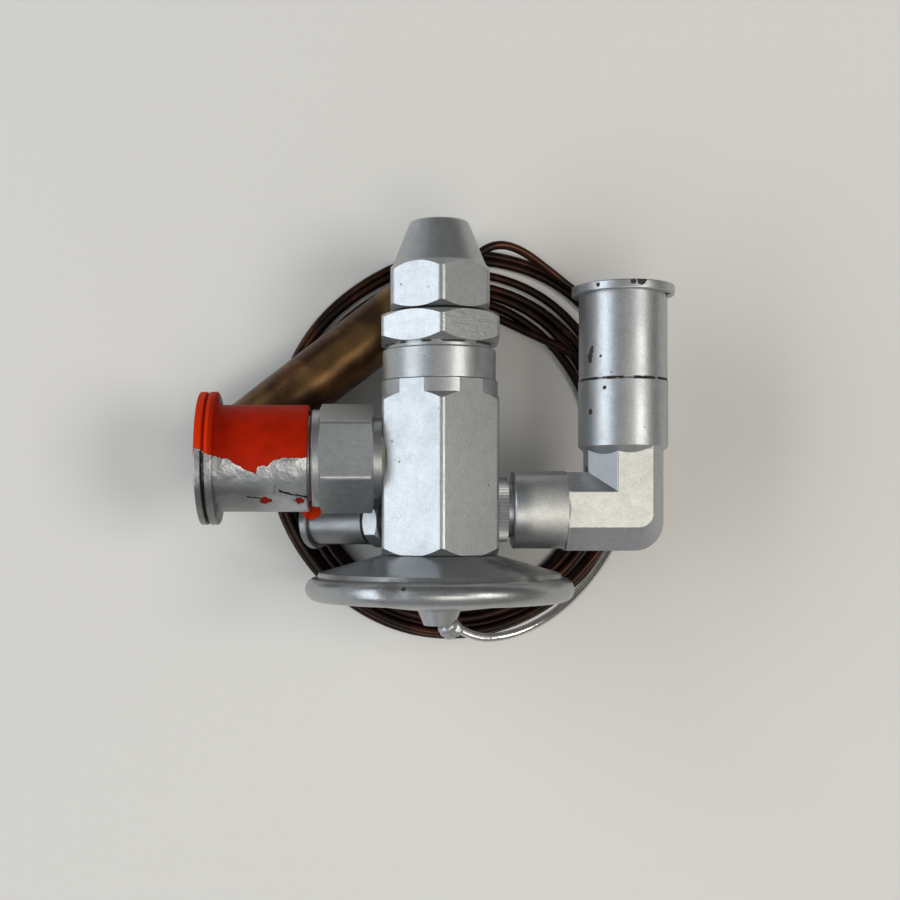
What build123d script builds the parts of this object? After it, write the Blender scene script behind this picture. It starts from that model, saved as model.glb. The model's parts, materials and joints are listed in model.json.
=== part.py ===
"""Thermostatic expansion valve, lying on its coiled capillary tube and sensing bulb.

Millimetres. X and Y lie in the table plane and Z points up. The valve's stem axis runs
along +Y, with the power head at its low end and the seal cap at its high end. The origin
is on the table, under the middle of the valve without its capillary, coil and bulb.

Stations along the stem axis count from the body's end face at the power head. Distances
along a side connection count from the stem axis.
"""
from build123d import *
import math
import os

os.makedirs("parts", exist_ok=True)

# ---- fits and turned edges ---------------------------------------------------------
FIT = 0.03            # radial gap of pieces that slide, turn or are pushed together
LOOSE = 0.10          # radial gap of seals around a shank
HEX_CHAMFER = 37      # degrees, the slope of a turned chamfer on a hexagon's corners
CORNER_UP = 30        # degrees, turns a hexagon on the stem axis so that a corner is on top
SOFT_EDGE_R = 0.5     # rounding of turned rims
CAP_EDGE_R = 0.4      # rounding of the dust caps' rims
HEADROOM = 2.0        # free length between a threaded nose and its cap's floor

# ---- body -------------------------------------------------------------------------
BODY_AF = 30.0
BODY_EDGE_R = 1.6
BODY_LENGTH = 44.7
BODY_TURNED_R = 15.4        # the round land at the adjuster end
BODY_TURNED_LENGTH = 3.5
BODY_HEAD_CHAMFER_R = 15.3
SPIGOT_R = 12.0
SPIGOT_LENGTH = 5.0
GUIDE_R = 8.5
GUIDE_DEPTH = 5.0           # station of the shoulder that the rod guide rests on
INLET_CHAMBER_R = 7.5
SEAT_WALL = (17.0, 20.5)    # stations of the wall between inlet and outlet chambers
SEAT_THREAD_R = 3.8
OUTLET_CHAMBER_R = 10.0
HOUSING_THREAD_R = 11.0
HOUSING_DEPTH = 8.7         # length of the adjuster housing's thread in the body
BODY_FLAT = BODY_AF / 2

# ---- outlet connection, along -X --------------------------------------------------
OUTLET_STATION = 25.0
OUTLET_PORT_R = 7.8
OUTLET_PORT_DEPTH = 6.0
OUTLET_SHANK = 4.8
OUTLET_RING_DEPTH = 0.8
OUTLET_RING_R = 10.0
OUTLET_NECK_R = 10.5
OUTLET_NECK = 2.1
OUTLET_AF = 25.4
OUTLET_HEX_EDGE_R = 1.3
OUTLET_HEX = 14.0
OUTLET_HEX_TURN = 7.0       # degrees
OUTLET_HEX_CHAMFER = 18.0   # degrees
OUTLET_COLLAR_R = 12.7
OUTLET_COLLAR = 2.3
OUTLET_COLLAR_EDGE_R = 0.9
OUTLET_RELIEF_R = 11.3
OUTLET_RELIEF = 1.6
OUTLET_THREAD_R = 12.3
OUTLET_THREAD = 15.0
OUTLET_FLARE_R = 10.8
OUTLET_FLARE_LAND = 1.2
OUTLET_FLARE = 3.3
OUTLET_BORE_R = 6.5
OUTLET_CAP_WALL = 1.62
OUTLET_CAP_GAP = 0.4        # between collar and cap
OUTLET_CAP_END_WALL = 5.5
OUTLET_CAP_FLANGE_R = 17.35
OUTLET_CAP_LIP = 1.9
OUTLET_CAP_GROOVE = 0.8
OUTLET_CAP_GROOVE_DEPTH = 1.6
OUTLET_CAP_PLATE = 1.9

OUTLET_NECK_END = BODY_FLAT + OUTLET_NECK
OUTLET_HEX_END = OUTLET_NECK_END + OUTLET_HEX
OUTLET_COLLAR_END = OUTLET_HEX_END + OUTLET_COLLAR
OUTLET_THREAD_START = OUTLET_COLLAR_END + OUTLET_RELIEF
OUTLET_THREAD_END = OUTLET_THREAD_START + OUTLET_THREAD
OUTLET_NOSE_END = OUTLET_THREAD_END + OUTLET_FLARE_LAND + OUTLET_FLARE
OUTLET_CAP_FLOOR = OUTLET_NOSE_END + HEADROOM
OUTLET_REACH = OUTLET_CAP_FLOOR + OUTLET_CAP_END_WALL
OUTLET_CAP_R = OUTLET_THREAD_R + FIT + OUTLET_CAP_WALL

# ---- inlet elbow, along +X and then +Y --------------------------------------------
INLET_STATION = 11.6
INLET_PORT_R = 6.2
INLET_PORT_DEPTH = 10.0
INLET_SHANK = 6.5
INLET_RING_R = 7.7
INLET_RING_DEPTH = 0.8
LOCK_RING_R = 8.4
LOCK_RING_TOOTH = 0.45
LOCK_RING_TEETH = 60
LOCK_RING = 2.6
ELBOW_NECK_R = 7.2
ELBOW_NECK = 1.3
ELBOW_ROUND_R = 10.15
ELBOW_ROUND = 13.7
ELBOW_LEG = 48.0            # distance of the upright leg's axis from the stem axis
ELBOW_HALF = 9.7            # half the forged block's width
ELBOW_DROP = 10.6           # from the inlet axis to the block's lower side
ELBOW_FACET = (-4.6, 4.6)   # edges of the flat beside the inlet axis
ELBOW_LEG_FACET = (-3.0, 6.1)   # edges of the flat beside the leg's axis
ELBOW_SIDE = 4.2            # half height of the block's straight sides
ELBOW_CORNER_R = 7.5
ELBOW_FACET_CORNER_R = 3.6
ELBOW_EDGE_R = 0.5
ELBOW_CONE = 2.5            # length of the cones that lead from round to block
ELBOW_UPRIGHT_START = 28.0
ELBOW_UPRIGHT_R = 11.6
ELBOW_UPRIGHT = 17.1
ELBOW_CHANNEL_R = 4.2
ELBOW_RELIEF_R = 8.6
ELBOW_RELIEF = 1.5
ELBOW_THREAD_R = 9.5
ELBOW_THREAD = 13.9
ELBOW_FLARE_R = 8.2
ELBOW_FLARE_LAND = 1.2
ELBOW_FLARE = 2.6
ELBOW_BORE_R = 5.0
ELBOW_BORE_FLOOR = 30.0
STRAINER_R = 4.2
STRAINER_WALL = 0.5
STRAINER_FLANGE = 1.0
STRAINER_LENGTH = 21.0
INLET_CAP_WALL = 1.87
INLET_CAP_END_WALL = 3.4
INLET_CAP_FLANGE = 2.4
INLET_CAP_FLANGE_R = 13.25

LOCK_RING_END = BODY_FLAT + LOCK_RING
ELBOW_NECK_END = LOCK_RING_END + ELBOW_NECK
ELBOW_ROUND_END = ELBOW_NECK_END + ELBOW_ROUND
ELBOW_UPRIGHT_END = ELBOW_UPRIGHT_START + ELBOW_UPRIGHT
ELBOW_THREAD_START = ELBOW_UPRIGHT_END + ELBOW_RELIEF
ELBOW_THREAD_END = ELBOW_THREAD_START + ELBOW_THREAD
ELBOW_NOSE_END = ELBOW_THREAD_END + ELBOW_FLARE_LAND + ELBOW_FLARE
STRAINER_END = ELBOW_BORE_FLOOR + STRAINER_LENGTH
INLET_CAP_FLOOR = ELBOW_NOSE_END + HEADROOM
INLET_CAP_END = INLET_CAP_FLOOR + INLET_CAP_END_WALL
INLET_CAP_R = ELBOW_THREAD_R + FIT + INLET_CAP_WALL

# ---- equalizer connection, slanting down behind the body --------------------------
EQUALIZER_STATION = 8.4
EQUALIZER_SLOPE = 30.0      # degrees below the horizontal
EQUALIZER_SHANK = 4.5
EQUALIZER_SHANK_R = 3.6
EQUALIZER_FACE = 15.5       # distance of the spot face on the body's corner
EQUALIZER_SPOT_R = 7.0
EQUALIZER_AF = 12.0
EQUALIZER_HEX_EDGE_R = 0.6
EQUALIZER_HEX = 4.3
EQUALIZER_HEX_TURN = 0.0    # degrees
EQUALIZER_THREAD_R = 5.1
EQUALIZER_THREAD = 10.0
EQUALIZER_FLARE = 2.2
EQUALIZER_BORE_R = 2.2
EQUALIZER_CAP_GAP = 0.8
EQUALIZER_CAP_WALL = 0.97
EQUALIZER_CAP_END_WALL = 5.2
EQUALIZER_CAP_FLANGE = 2.2
EQUALIZER_CAP_FLANGE_R = 7.4
EQUALIZER_PASSAGE_R = 0.9
EQUALIZER_PASSAGE_RADIUS = 10.2

EQUALIZER_PORT_FLOOR = EQUALIZER_FACE - EQUALIZER_SHANK
EQUALIZER_HEX_END = EQUALIZER_FACE + EQUALIZER_HEX
EQUALIZER_THREAD_END = EQUALIZER_HEX_END + EQUALIZER_THREAD
EQUALIZER_NOSE_END = EQUALIZER_THREAD_END + EQUALIZER_FLARE
EQUALIZER_CAP_START = EQUALIZER_HEX_END + EQUALIZER_CAP_GAP
EQUALIZER_CAP_FLOOR = EQUALIZER_NOSE_END + HEADROOM
EQUALIZER_CAP_END = EQUALIZER_CAP_FLOOR + EQUALIZER_CAP_END_WALL
EQUALIZER_CAP_R = EQUALIZER_THREAD_R + FIT + EQUALIZER_CAP_WALL

# ---- adjuster end -----------------------------------------------------------------
HOUSING_STEP = 0.65         # how far the housing stands in from the body's round land
HOUSING_LAND = 8.3
HOUSING_UNDERCUT = 1.3
HOUSING_UNDERCUT_DEPTH = 1.05
HOUSING_NOSE_R = 10.0
HOUSING_NOSE = 18.7
HOUSING_BORE_R = 9.0
HOUSING_SHOULDER = 1.9      # thickness of the web over the stem's collar, under the nut
PACKING_R = 6.5
PACKING_START = 5.7         # above the seat of the lock nut
PACKING_LENGTH = 5.0
GLAND_LENGTH = 5.0
GLAND_SLOT = 1.6
LOCK_NUT_AF = 30.2
LOCK_NUT_EDGE_R = 1.6
LOCK_NUT = 7.8
GASKET = 1.0
GASKET_R = 11.9
SEAL_CAP_AF = 25.4
SEAL_CAP_CORNER_R = 2.0
SEAL_CAP_HEX = 9.6
SEAL_CAP_CHAMFER = 2.5
SEAL_CAP_CONE_R = 12.2
SEAL_CAP_CONE = 11.4
SEAL_CAP_TOP_R = 7.6
SEAL_CAP_EDGE_R = 1.1
SEAL_CAP_BORE = 11.9
SEAL_CAP_TIP_R = 6.5
SEAL_CAP_TIP = 7.0

HOUSING_R = BODY_TURNED_R - HOUSING_STEP
HOUSING_UNDERCUT_R = HOUSING_R - HOUSING_UNDERCUT_DEPTH
HOUSING_END = BODY_LENGTH + HOUSING_LAND + HOUSING_UNDERCUT
HOUSING_NOSE_END = HOUSING_END + HOUSING_NOSE
LOCK_NUT_END = HOUSING_END + LOCK_NUT
GASKET_END = LOCK_NUT_END + GASKET
SEAL_CAP_CORNER_END = GASKET_END + SEAL_CAP_HEX
SEAL_CAP_CONE_START = SEAL_CAP_CORNER_END + SEAL_CAP_CHAMFER
SEAL_CAP_END = SEAL_CAP_CONE_START + SEAL_CAP_CONE
PACKING = (HOUSING_END + PACKING_START, HOUSING_END + PACKING_START + PACKING_LENGTH)

STEM_THREAD_R = 3.0
STEM_THREAD = 13.4
STEM_COLLAR_R = 6.0
STEM_COLLAR = 2.0
STEM_R = 4.0
STEM_ROUND = 19.6
STEM_SQUARE = 5.6
STEM_SQUARE_LENGTH = 8.0

STEM_SHOULDER = HOUSING_END - HOUSING_SHOULDER
STEM_COLLAR_START = STEM_SHOULDER - STEM_COLLAR
STEM_START = STEM_COLLAR_START - STEM_THREAD
STEM_SQUARE_START = STEM_SHOULDER + STEM_ROUND
STEM_END = STEM_SQUARE_START + STEM_SQUARE_LENGTH

# ---- spring and pin ---------------------------------------------------------------
SEAT_PORT_R = 2.0
SEAT_STEP = 1.0             # how far the seat stands into the inlet chamber
SEAT_FLANGE_R = 4.1
SEAT_FLANGE = 0.5
CARRIER_GAP = 1.0           # between the seat's flange and the pin carrier
CARRIER_R = 6.9
CARRIER_THICKNESS = 3.0
CARRIER_BOSS_R = 3.4
CARRIER_BOSS_LENGTH = 4.0
SPRING_LENGTH = 16.0
SPRING_WIRE_R = 0.8
SPRING_COIL_R = 5.9
SPRING_TURNS = 5
SPRING_SEAT_LENGTH = 3.0
SPRING_SEAT_KEY = 2.0
SPRING_SEAT_KEY_HEIGHT = 0.8
SPRING_SEAT_GAP = 0.1
SPRING_SEAT_HUB_R = 4.2
SPRING_SEAT_HUB = 3.0
PIN_R = 1.6
PIN_TIP_R = 0.7
PIN_CONE_LENGTH = 2.4
ROD_R = 1.0
ROD_RADIUS = 5.2
ROD_COUNT = 2

SEAT_START = SEAT_WALL[0] - SEAT_STEP
SEAT_END = SEAT_WALL[1] + SEAT_FLANGE
CARRIER_START = SEAT_END + CARRIER_GAP
CARRIER_END = CARRIER_START + CARRIER_THICKNESS
SPRING_SEAT = (CARRIER_END + SPRING_LENGTH, CARRIER_END + SPRING_LENGTH + SPRING_SEAT_LENGTH)

# ---- power head -------------------------------------------------------------------
HEAD_R = 35.0
HEAD_RIM_R = 3.1            # radius of the rounded rim's section
HEAD_MIDDLE = -9.0          # station of the joint between the two cups
HEAD_HUB_R = 14.5
HEAD_HUB_LENGTH = 3.6
HEAD_SHOULDER = -4.8        # station of the dome's lower edge
HEAD_SHOULDER_STEP = 0.5
HEAD_SHEET = 1.7
HEAD_CLAMP = 4.0            # width of the ring that clamps the diaphragm
HEAD_CAVITY_DROP = 2.1
HEAD_COVER_DROP = 2.7       # from the rim's middle to the cone of the outer cup
HEAD_COVER_END = -14.5
HEAD_COVER_CAVITY = 1.2
HEAD_CENTRE_R = 8.0
HEAD_RING_R = 13.4
HEAD_RING_DEPTH = 0.8
DIAPHRAGM_EDGE = 1.0        # wall left outside the diaphragm
DIAPHRAGM_THICKNESS = 0.3
BUFFER_EDGE = 9.5           # how far the plate stays inside the cavity
BUFFER_THICKNESS = 1.8
BOSS_R = 5.7
BOSS_TIP_R = 4.0
BOSS_LENGTH = 4.1
CHARGE_HOLE_R = 0.8

DIAPHRAGM_R = HEAD_R - DIAPHRAGM_EDGE
HEAD_CAVITY_R = DIAPHRAGM_R - HEAD_CLAMP
HEAD_RIM_CENTRE = HEAD_R - HEAD_RIM_R
DIAPHRAGM_END = HEAD_MIDDLE + DIAPHRAGM_THICKNESS
BUFFER_R = HEAD_CAVITY_R - BUFFER_EDGE
BUFFER_END = DIAPHRAGM_END + BUFFER_THICKNESS
BOSS_END = HEAD_COVER_END - BOSS_LENGTH

# ---- capillary tube, coil and bulb ------------------------------------------------
TUBE_R = 1.2
BEND = 0.45                 # share of the shorter run that a bend takes up
LEAD_POINTS = [             # distance from the stem axis, station, height
    (0.0, -16.0, HEAD_R),
    (7.8, -22.2, 34.9),
    (18.8, -21.7, 33.0),
    (29.9, -17.0, 28.5),
    (38.8, -10.2, 22.3),
    (46.1, -2.3, 15.8),
    (52.0, 6.7, 9.5),
    (56.0, 14.8, 5.2),
    (57.7, 20.5, 3.4),
]
BRAZE_AT = (3.2, 1.7)       # distances along the lead where the braze starts and how far it runs
BRAZE_R = 2.9
BRAZE_TIP_R = 1.7
COIL_CENTRE = (4.3, 31.7)
COIL_R = 59.0
COIL_INNER_R = 35.3
COIL_LAYER = 2.4
COIL_HEAD_HALF = 21.0       # half the width left free around the power head's rim
COIL_HEAD_STATION = -12.2
COIL_UPPER_STATION = 24.0   # the second layer of strands lies below this station
BULB_R = 8.5
BULB_LENGTH = 75.0
BULB_HEADING = 37.5         # degrees from +X towards +Y
BULB_END = (4.3, 77.2)      # where the shoulder of its tube end lies
BULB_LIFT = 0.05            # gap over the strands that it lies on
BULB_EDGE_R = 2.0
BULB_NECK_R = 2.6
BULB_NECK = 4.0
TAIL_POINTS = [
    (40.2, 74.1, 1.9),
    (33.0, 79.5, 4.0),
    (23.7, 85.3, 8.5),
]
TAIL_RUN = 8.5              # the straight run that enters the bulb

# ---- where everything lies --------------------------------------------------------
AXIS_X = (OUTLET_REACH - ELBOW_LEG - INLET_CAP_FLANGE_R) / 2
AXIS_Z = HEAD_R
STATION_ZERO = -(SEAL_CAP_END + BOSS_END) / 2
BULB_Z = 2 * TUBE_R + BULB_LIFT + BULB_R


def at(offset, station, height):
    """A point from its distance to the stem axis, its station and its height."""
    return (AXIS_X + offset, STATION_ZERO + station, height)


STEM = Plane(origin=at(0, 0, AXIS_Z), x_dir=(1, 0, 0), z_dir=(0, 1, 0))
OUTLET = Plane(origin=at(0, OUTLET_STATION, AXIS_Z), x_dir=(0, 1, 0), z_dir=(-1, 0, 0))
INLET = Plane(origin=at(0, INLET_STATION, AXIS_Z), x_dir=(0, 1, 0), z_dir=(1, 0, 0))
LEG = Plane(origin=at(ELBOW_LEG, 0, AXIS_Z), x_dir=(1, 0, 0), z_dir=(0, 1, 0))
SLOPE = math.radians(EQUALIZER_SLOPE)
EQUALIZER = Plane(
    origin=at(0, EQUALIZER_STATION, AXIS_Z),
    x_dir=(0, 1, 0),
    z_dir=(-math.cos(SLOPE), 0, -math.sin(SLOPE)),
)
HEADING = math.radians(BULB_HEADING)
BULB = Plane(
    origin=at(*BULB_END, BULB_Z),
    x_dir=(0, 0, 1),
    z_dir=(math.cos(HEADING), math.sin(HEADING), 0),
)


def rod(radius, start, end):
    """A cylinder about local Z between two heights."""
    return Pos(0, 0, start) * Cylinder(
        radius, end - start, align=(Align.CENTER, Align.CENTER, Align.MIN)
    )


def ring(radius, hole, start, end):
    """A flat ring about local Z between two heights."""
    return rod(radius, start, end) - rod(hole, start, end)


def turned(*points, soft=(), soft_r=SOFT_EDGE_R):
    """A solid of revolution about local Z from its (radius, height) outline.

    The outline's corners that are listed in soft are rounded.
    """
    face = make_face(Polyline(*points, close=True))
    corners = [v for v in face.vertices() for c in soft if tuple(v)[:2] == c]
    if corners:
        face = fillet(corners, soft_r)
    return revolve(Plane.XZ * face, Axis.Z)


def cone(start_r, start, end_r, end):
    """A solid cone or its frustum about local Z."""
    return turned((0, start), (start_r, start), (end_r, end), (0, end))


def hexagon_bar(across, edge_r, start, end, turn=CORNER_UP):
    """A hexagon bar about local Z with rounded long edges."""
    outline = RegularPolygon(across / 2, 6, major_radius=False, rotation=turn)
    return Pos(0, 0, start) * extrude(fillet(outline.vertices(), edge_r), end - start)


def chamfer_drop(across, slope=HEX_CHAMFER):
    """How far a turned chamfer reaches along a hexagon's corners."""
    flat = across / 2
    return (flat / math.cos(math.radians(30)) - flat) * math.tan(math.radians(slope))


def hexagon(across, edge_r, start, end, turn=CORNER_UP, slope=HEX_CHAMFER):
    """A hexagon nut about local Z, its corners turned off at both ends."""
    flat = across / 2
    corner = flat / math.cos(math.radians(30))
    drop = chamfer_drop(across, slope)
    return hexagon_bar(across, edge_r, start, end, turn) & turned(
        (0, start),
        (flat, start),
        (corner, start + drop),
        (corner, end - drop),
        (flat, end),
        (0, end),
    )


def bend_radii(points):
    """Bend radii that leave a straight piece in the middle of each run."""
    radii = []
    for before, here, after in zip(points, points[1:], points[2:]):
        run_in = Vector(*here) - Vector(*before)
        run_out = Vector(*after) - Vector(*here)
        half_turn = math.radians(run_in.get_angle(run_out)) / 2
        shorter = min(run_in.length, run_out.length)
        radii.append(BEND * shorter / math.tan(half_turn))
    return radii


def tube(name, points):
    """A bent tube of solid section through points, with tangent arcs at its bends."""
    radii = bend_radii(points)
    path = FilletPolyline(*points, radius=radii)
    start = Vector(*points[1]) - Vector(*points[0])
    section = Plane(origin=points[0], z_dir=start) * Circle(TUBE_R)
    solid = sweep(section, path=path)
    share = solid.volume / (math.pi * TUBE_R**2 * path.length)
    print(f"{name}: {path.length:.1f} mm, bends {min(radii):.1f} mm or more, volume {share:.4f}")
    return solid


# ---- body and its fixed pieces ----------------------------------------------------
def valve_body():
    """Hexagon body with its stepped bore, three ports and the equalizer passage."""
    corner = BODY_FLAT / math.cos(math.radians(30))
    top_chamfer = BODY_LENGTH - BODY_TURNED_LENGTH - (corner - BODY_TURNED_R)
    bar = hexagon_bar(BODY_AF, BODY_EDGE_R, 0, BODY_LENGTH) & turned(
        (0, 0),
        (BODY_HEAD_CHAMFER_R, 0),
        (corner, corner - BODY_HEAD_CHAMFER_R),
        (corner, top_chamfer),
        (BODY_TURNED_R, BODY_LENGTH - BODY_TURNED_LENGTH),
        (BODY_TURNED_R, BODY_LENGTH),
        (0, BODY_LENGTH),
    )
    body = bar + rod(SPIGOT_R, -SPIGOT_LENGTH, 0)
    housing_floor = BODY_LENGTH - HOUSING_DEPTH
    body -= rod(GUIDE_R, -SPIGOT_LENGTH, GUIDE_DEPTH)
    body -= rod(INLET_CHAMBER_R, GUIDE_DEPTH, SEAT_WALL[0])
    body -= rod(SEAT_THREAD_R, SEAT_WALL[0], SEAT_WALL[1])
    body -= rod(OUTLET_CHAMBER_R, SEAT_WALL[1], housing_floor)
    body -= rod(HOUSING_THREAD_R, housing_floor, BODY_LENGTH)
    body -= rod_places(ROD_R + FIT, SEAT_WALL[0], SEAT_WALL[1])
    body = STEM * body

    outlet_cut = rod(OUTLET_PORT_R, BODY_FLAT - OUTLET_PORT_DEPTH, BODY_FLAT)
    outlet_cut += rod(OUTLET_RING_R + FIT, BODY_FLAT - OUTLET_RING_DEPTH, BODY_FLAT)
    inlet_cut = rod(INLET_PORT_R, BODY_FLAT - INLET_PORT_DEPTH, BODY_FLAT)
    inlet_cut += rod(INLET_RING_R + FIT, BODY_FLAT - INLET_RING_DEPTH, BODY_FLAT)
    equalizer_cut = rod(EQUALIZER_SHANK_R + FIT, EQUALIZER_PORT_FLOOR, EQUALIZER_FACE)
    equalizer_cut += rod(EQUALIZER_SPOT_R, EQUALIZER_FACE, corner + FIT)
    equalizer_cut += rod(EQUALIZER_BORE_R, EQUALIZER_PASSAGE_RADIUS, EQUALIZER_PORT_FLOOR)
    passage = (
        EQUALIZER
        * Pos(0, 0, EQUALIZER_PASSAGE_RADIUS)
        * Rot(0, -90, 0)
        * rod(EQUALIZER_PASSAGE_R, 0, EQUALIZER_STATION + SPIGOT_LENGTH)
    )
    return body - OUTLET * outlet_cut - INLET * inlet_cut - EQUALIZER * equalizer_cut - passage


def rod_places(radius, start, end):
    """The push rods or their holes, spread above and below the stem axis."""
    return PolarLocations(ROD_RADIUS, ROD_COUNT, start_angle=90) * rod(radius, start, end)


def rod_guide():
    """Plug that closes the inlet chamber under the power head and guides the rods."""
    plug = rod(GUIDE_R - FIT, -SPIGOT_LENGTH, GUIDE_DEPTH)
    return STEM * (plug - rod_places(ROD_R + FIT, -SPIGOT_LENGTH, GUIDE_DEPTH))


def valve_seat():
    """Port screwed into the wall between the chambers."""
    seat = rod(SEAT_THREAD_R - FIT, SEAT_START, SEAT_END - SEAT_FLANGE)
    seat += rod(SEAT_FLANGE_R - FIT, SEAT_END - SEAT_FLANGE, SEAT_END)
    seat_places = rod_places(ROD_R + FIT, SEAT_START, SEAT_END)
    return STEM * (seat - rod(SEAT_PORT_R, SEAT_START, SEAT_END) - seat_places)


# ---- outlet side ------------------------------------------------------------------
def outlet_adapter():
    """Hexagon adapter with a threaded flare nose."""
    adapter = rod(OUTLET_PORT_R - FIT, BODY_FLAT - OUTLET_SHANK, BODY_FLAT)
    adapter += rod(OUTLET_NECK_R, BODY_FLAT, OUTLET_NECK_END)
    adapter += hexagon(
        OUTLET_AF,
        OUTLET_HEX_EDGE_R,
        OUTLET_NECK_END,
        OUTLET_HEX_END,
        OUTLET_HEX_TURN,
        OUTLET_HEX_CHAMFER,
    )
    adapter += turned(
        (0, OUTLET_HEX_END),
        (OUTLET_COLLAR_R, OUTLET_HEX_END),
        (OUTLET_COLLAR_R, OUTLET_COLLAR_END),
        (0, OUTLET_COLLAR_END),
        soft=[(OUTLET_COLLAR_R, OUTLET_COLLAR_END)],
        soft_r=OUTLET_COLLAR_EDGE_R,
    )
    flare_start = OUTLET_NOSE_END - OUTLET_FLARE
    adapter += turned(
        (0, OUTLET_COLLAR_END),
        (OUTLET_RELIEF_R, OUTLET_COLLAR_END),
        (OUTLET_RELIEF_R, OUTLET_THREAD_START),
        (OUTLET_THREAD_R, OUTLET_THREAD_START),
        (OUTLET_THREAD_R, OUTLET_THREAD_END),
        (OUTLET_FLARE_R, OUTLET_THREAD_END),
        (OUTLET_FLARE_R, flare_start),
        (OUTLET_FLARE_R - OUTLET_FLARE, OUTLET_NOSE_END),
        (0, OUTLET_NOSE_END),
    )
    return OUTLET * (adapter - rod(OUTLET_BORE_R, BODY_FLAT - OUTLET_SHANK, OUTLET_NOSE_END))


def outlet_seal_ring():
    """Flat ring under the adapter's neck, sunk into the body."""
    return OUTLET * ring(
        OUTLET_RING_R, OUTLET_PORT_R - FIT + LOOSE, BODY_FLAT - OUTLET_RING_DEPTH, BODY_FLAT
    )


def outlet_dust_cap():
    """Plastic cap with a double flange, screwed over the outlet thread."""
    mouth = OUTLET_COLLAR_END + OUTLET_CAP_GAP
    plate = OUTLET_REACH - OUTLET_CAP_PLATE
    groove = plate - OUTLET_CAP_GROOVE
    lip = groove - OUTLET_CAP_LIP
    groove_r = OUTLET_CAP_FLANGE_R - OUTLET_CAP_GROOVE_DEPTH
    cap = turned(
        (0, OUTLET_CAP_FLOOR),
        (OUTLET_THREAD_R + FIT, OUTLET_CAP_FLOOR),
        (OUTLET_THREAD_R + FIT, mouth),
        (OUTLET_CAP_R, mouth),
        (OUTLET_CAP_R, lip),
        (OUTLET_CAP_FLANGE_R, lip),
        (OUTLET_CAP_FLANGE_R, groove),
        (groove_r, groove),
        (groove_r, plate),
        (OUTLET_CAP_FLANGE_R, plate),
        (OUTLET_CAP_FLANGE_R, OUTLET_REACH),
        (0, OUTLET_REACH),
        soft=[
            (OUTLET_CAP_R, mouth),
            (OUTLET_CAP_FLANGE_R, lip),
            (OUTLET_CAP_FLANGE_R, plate),
            (OUTLET_CAP_FLANGE_R, OUTLET_REACH),
        ],
        soft_r=CAP_EDGE_R,
    )
    return OUTLET * cap


# ---- inlet side -------------------------------------------------------------------
def elbow_outline(across, beside, corner_r):
    """The elbow's L-shaped outline.

    across gives the level leg's edges from the inlet axis, and beside the upright leg's
    edges from its own axis. corner_r rounds the outer corner.
    """
    low, high = (INLET_STATION + edge for edge in across)
    inner, outer = (ELBOW_LEG + edge for edge in beside)
    outline = make_face(
        Polyline(
            (ELBOW_ROUND_END, low),
            (outer, low),
            (outer, ELBOW_UPRIGHT_START),
            (inner, ELBOW_UPRIGHT_START),
            (inner, high),
            (ELBOW_ROUND_END, high),
            close=True,
        )
    )
    corner = [v for v in outline.vertices() if tuple(v)[:2] == (outer, low)]
    return fillet(corner, corner_r)


def inlet_elbow():
    """Forged elbow: round neck, eight-sided block, upright leg and flare nose."""
    full = elbow_outline((-ELBOW_DROP, ELBOW_HALF), (-ELBOW_HALF, ELBOW_HALF), ELBOW_CORNER_R)
    flat = elbow_outline(ELBOW_FACET, ELBOW_LEG_FACET, ELBOW_FACET_CORNER_R)
    upper = loft([Pos(0, 0, ELBOW_SIDE) * full, Pos(0, 0, ELBOW_HALF) * flat], ruled=True)
    block = extrude(full, ELBOW_SIDE, both=True) + upper + mirror(upper, about=Plane.XY)
    block = fillet(
        [e for e in block.edges() if abs(abs(e.center().Z) - ELBOW_HALF) < FIT and is_long(e)],
        ELBOW_EDGE_R,
    )
    block = Pos(*at(0, 0, AXIS_Z)) * block

    neck = rod(INLET_PORT_R - FIT, BODY_FLAT - INLET_SHANK, LOCK_RING_END)
    neck += rod(ELBOW_NECK_R, LOCK_RING_END, ELBOW_NECK_END)
    neck += turned(
        (0, ELBOW_NECK_END),
        (ELBOW_ROUND_R, ELBOW_NECK_END),
        (ELBOW_ROUND_R, ELBOW_ROUND_END),
        (ELBOW_ROUND_R - ELBOW_CONE, ELBOW_ROUND_END + ELBOW_CONE),
        (0, ELBOW_ROUND_END + ELBOW_CONE),
        soft=[(ELBOW_ROUND_R, ELBOW_NECK_END)],
    )
    leg = turned(
        (0, ELBOW_UPRIGHT_START - ELBOW_CONE),
        (ELBOW_UPRIGHT_R - ELBOW_CONE, ELBOW_UPRIGHT_START - ELBOW_CONE),
        (ELBOW_UPRIGHT_R, ELBOW_UPRIGHT_START),
        (ELBOW_UPRIGHT_R, ELBOW_UPRIGHT_END),
        (ELBOW_RELIEF_R, ELBOW_UPRIGHT_END),
        (ELBOW_RELIEF_R, ELBOW_THREAD_START),
        (ELBOW_THREAD_R, ELBOW_THREAD_START),
        (ELBOW_THREAD_R, ELBOW_THREAD_END),
        (ELBOW_FLARE_R, ELBOW_THREAD_END),
        (ELBOW_FLARE_R, ELBOW_NOSE_END - ELBOW_FLARE),
        (ELBOW_FLARE_R - ELBOW_FLARE, ELBOW_NOSE_END),
        (0, ELBOW_NOSE_END),
        soft=[(ELBOW_UPRIGHT_R, ELBOW_UPRIGHT_END)],
        soft_r=CAP_EDGE_R,
    )
    channel = INLET * rod(ELBOW_CHANNEL_R, BODY_FLAT - INLET_SHANK, ELBOW_LEG)
    channel += LEG * rod(ELBOW_CHANNEL_R, INLET_STATION, ELBOW_BORE_FLOOR)
    channel += LEG * rod(ELBOW_BORE_R, ELBOW_BORE_FLOOR, ELBOW_NOSE_END)
    channel += Pos(*at(ELBOW_LEG, INLET_STATION, AXIS_Z)) * Sphere(ELBOW_CHANNEL_R)
    return block + INLET * neck + LEG * leg - channel


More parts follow.
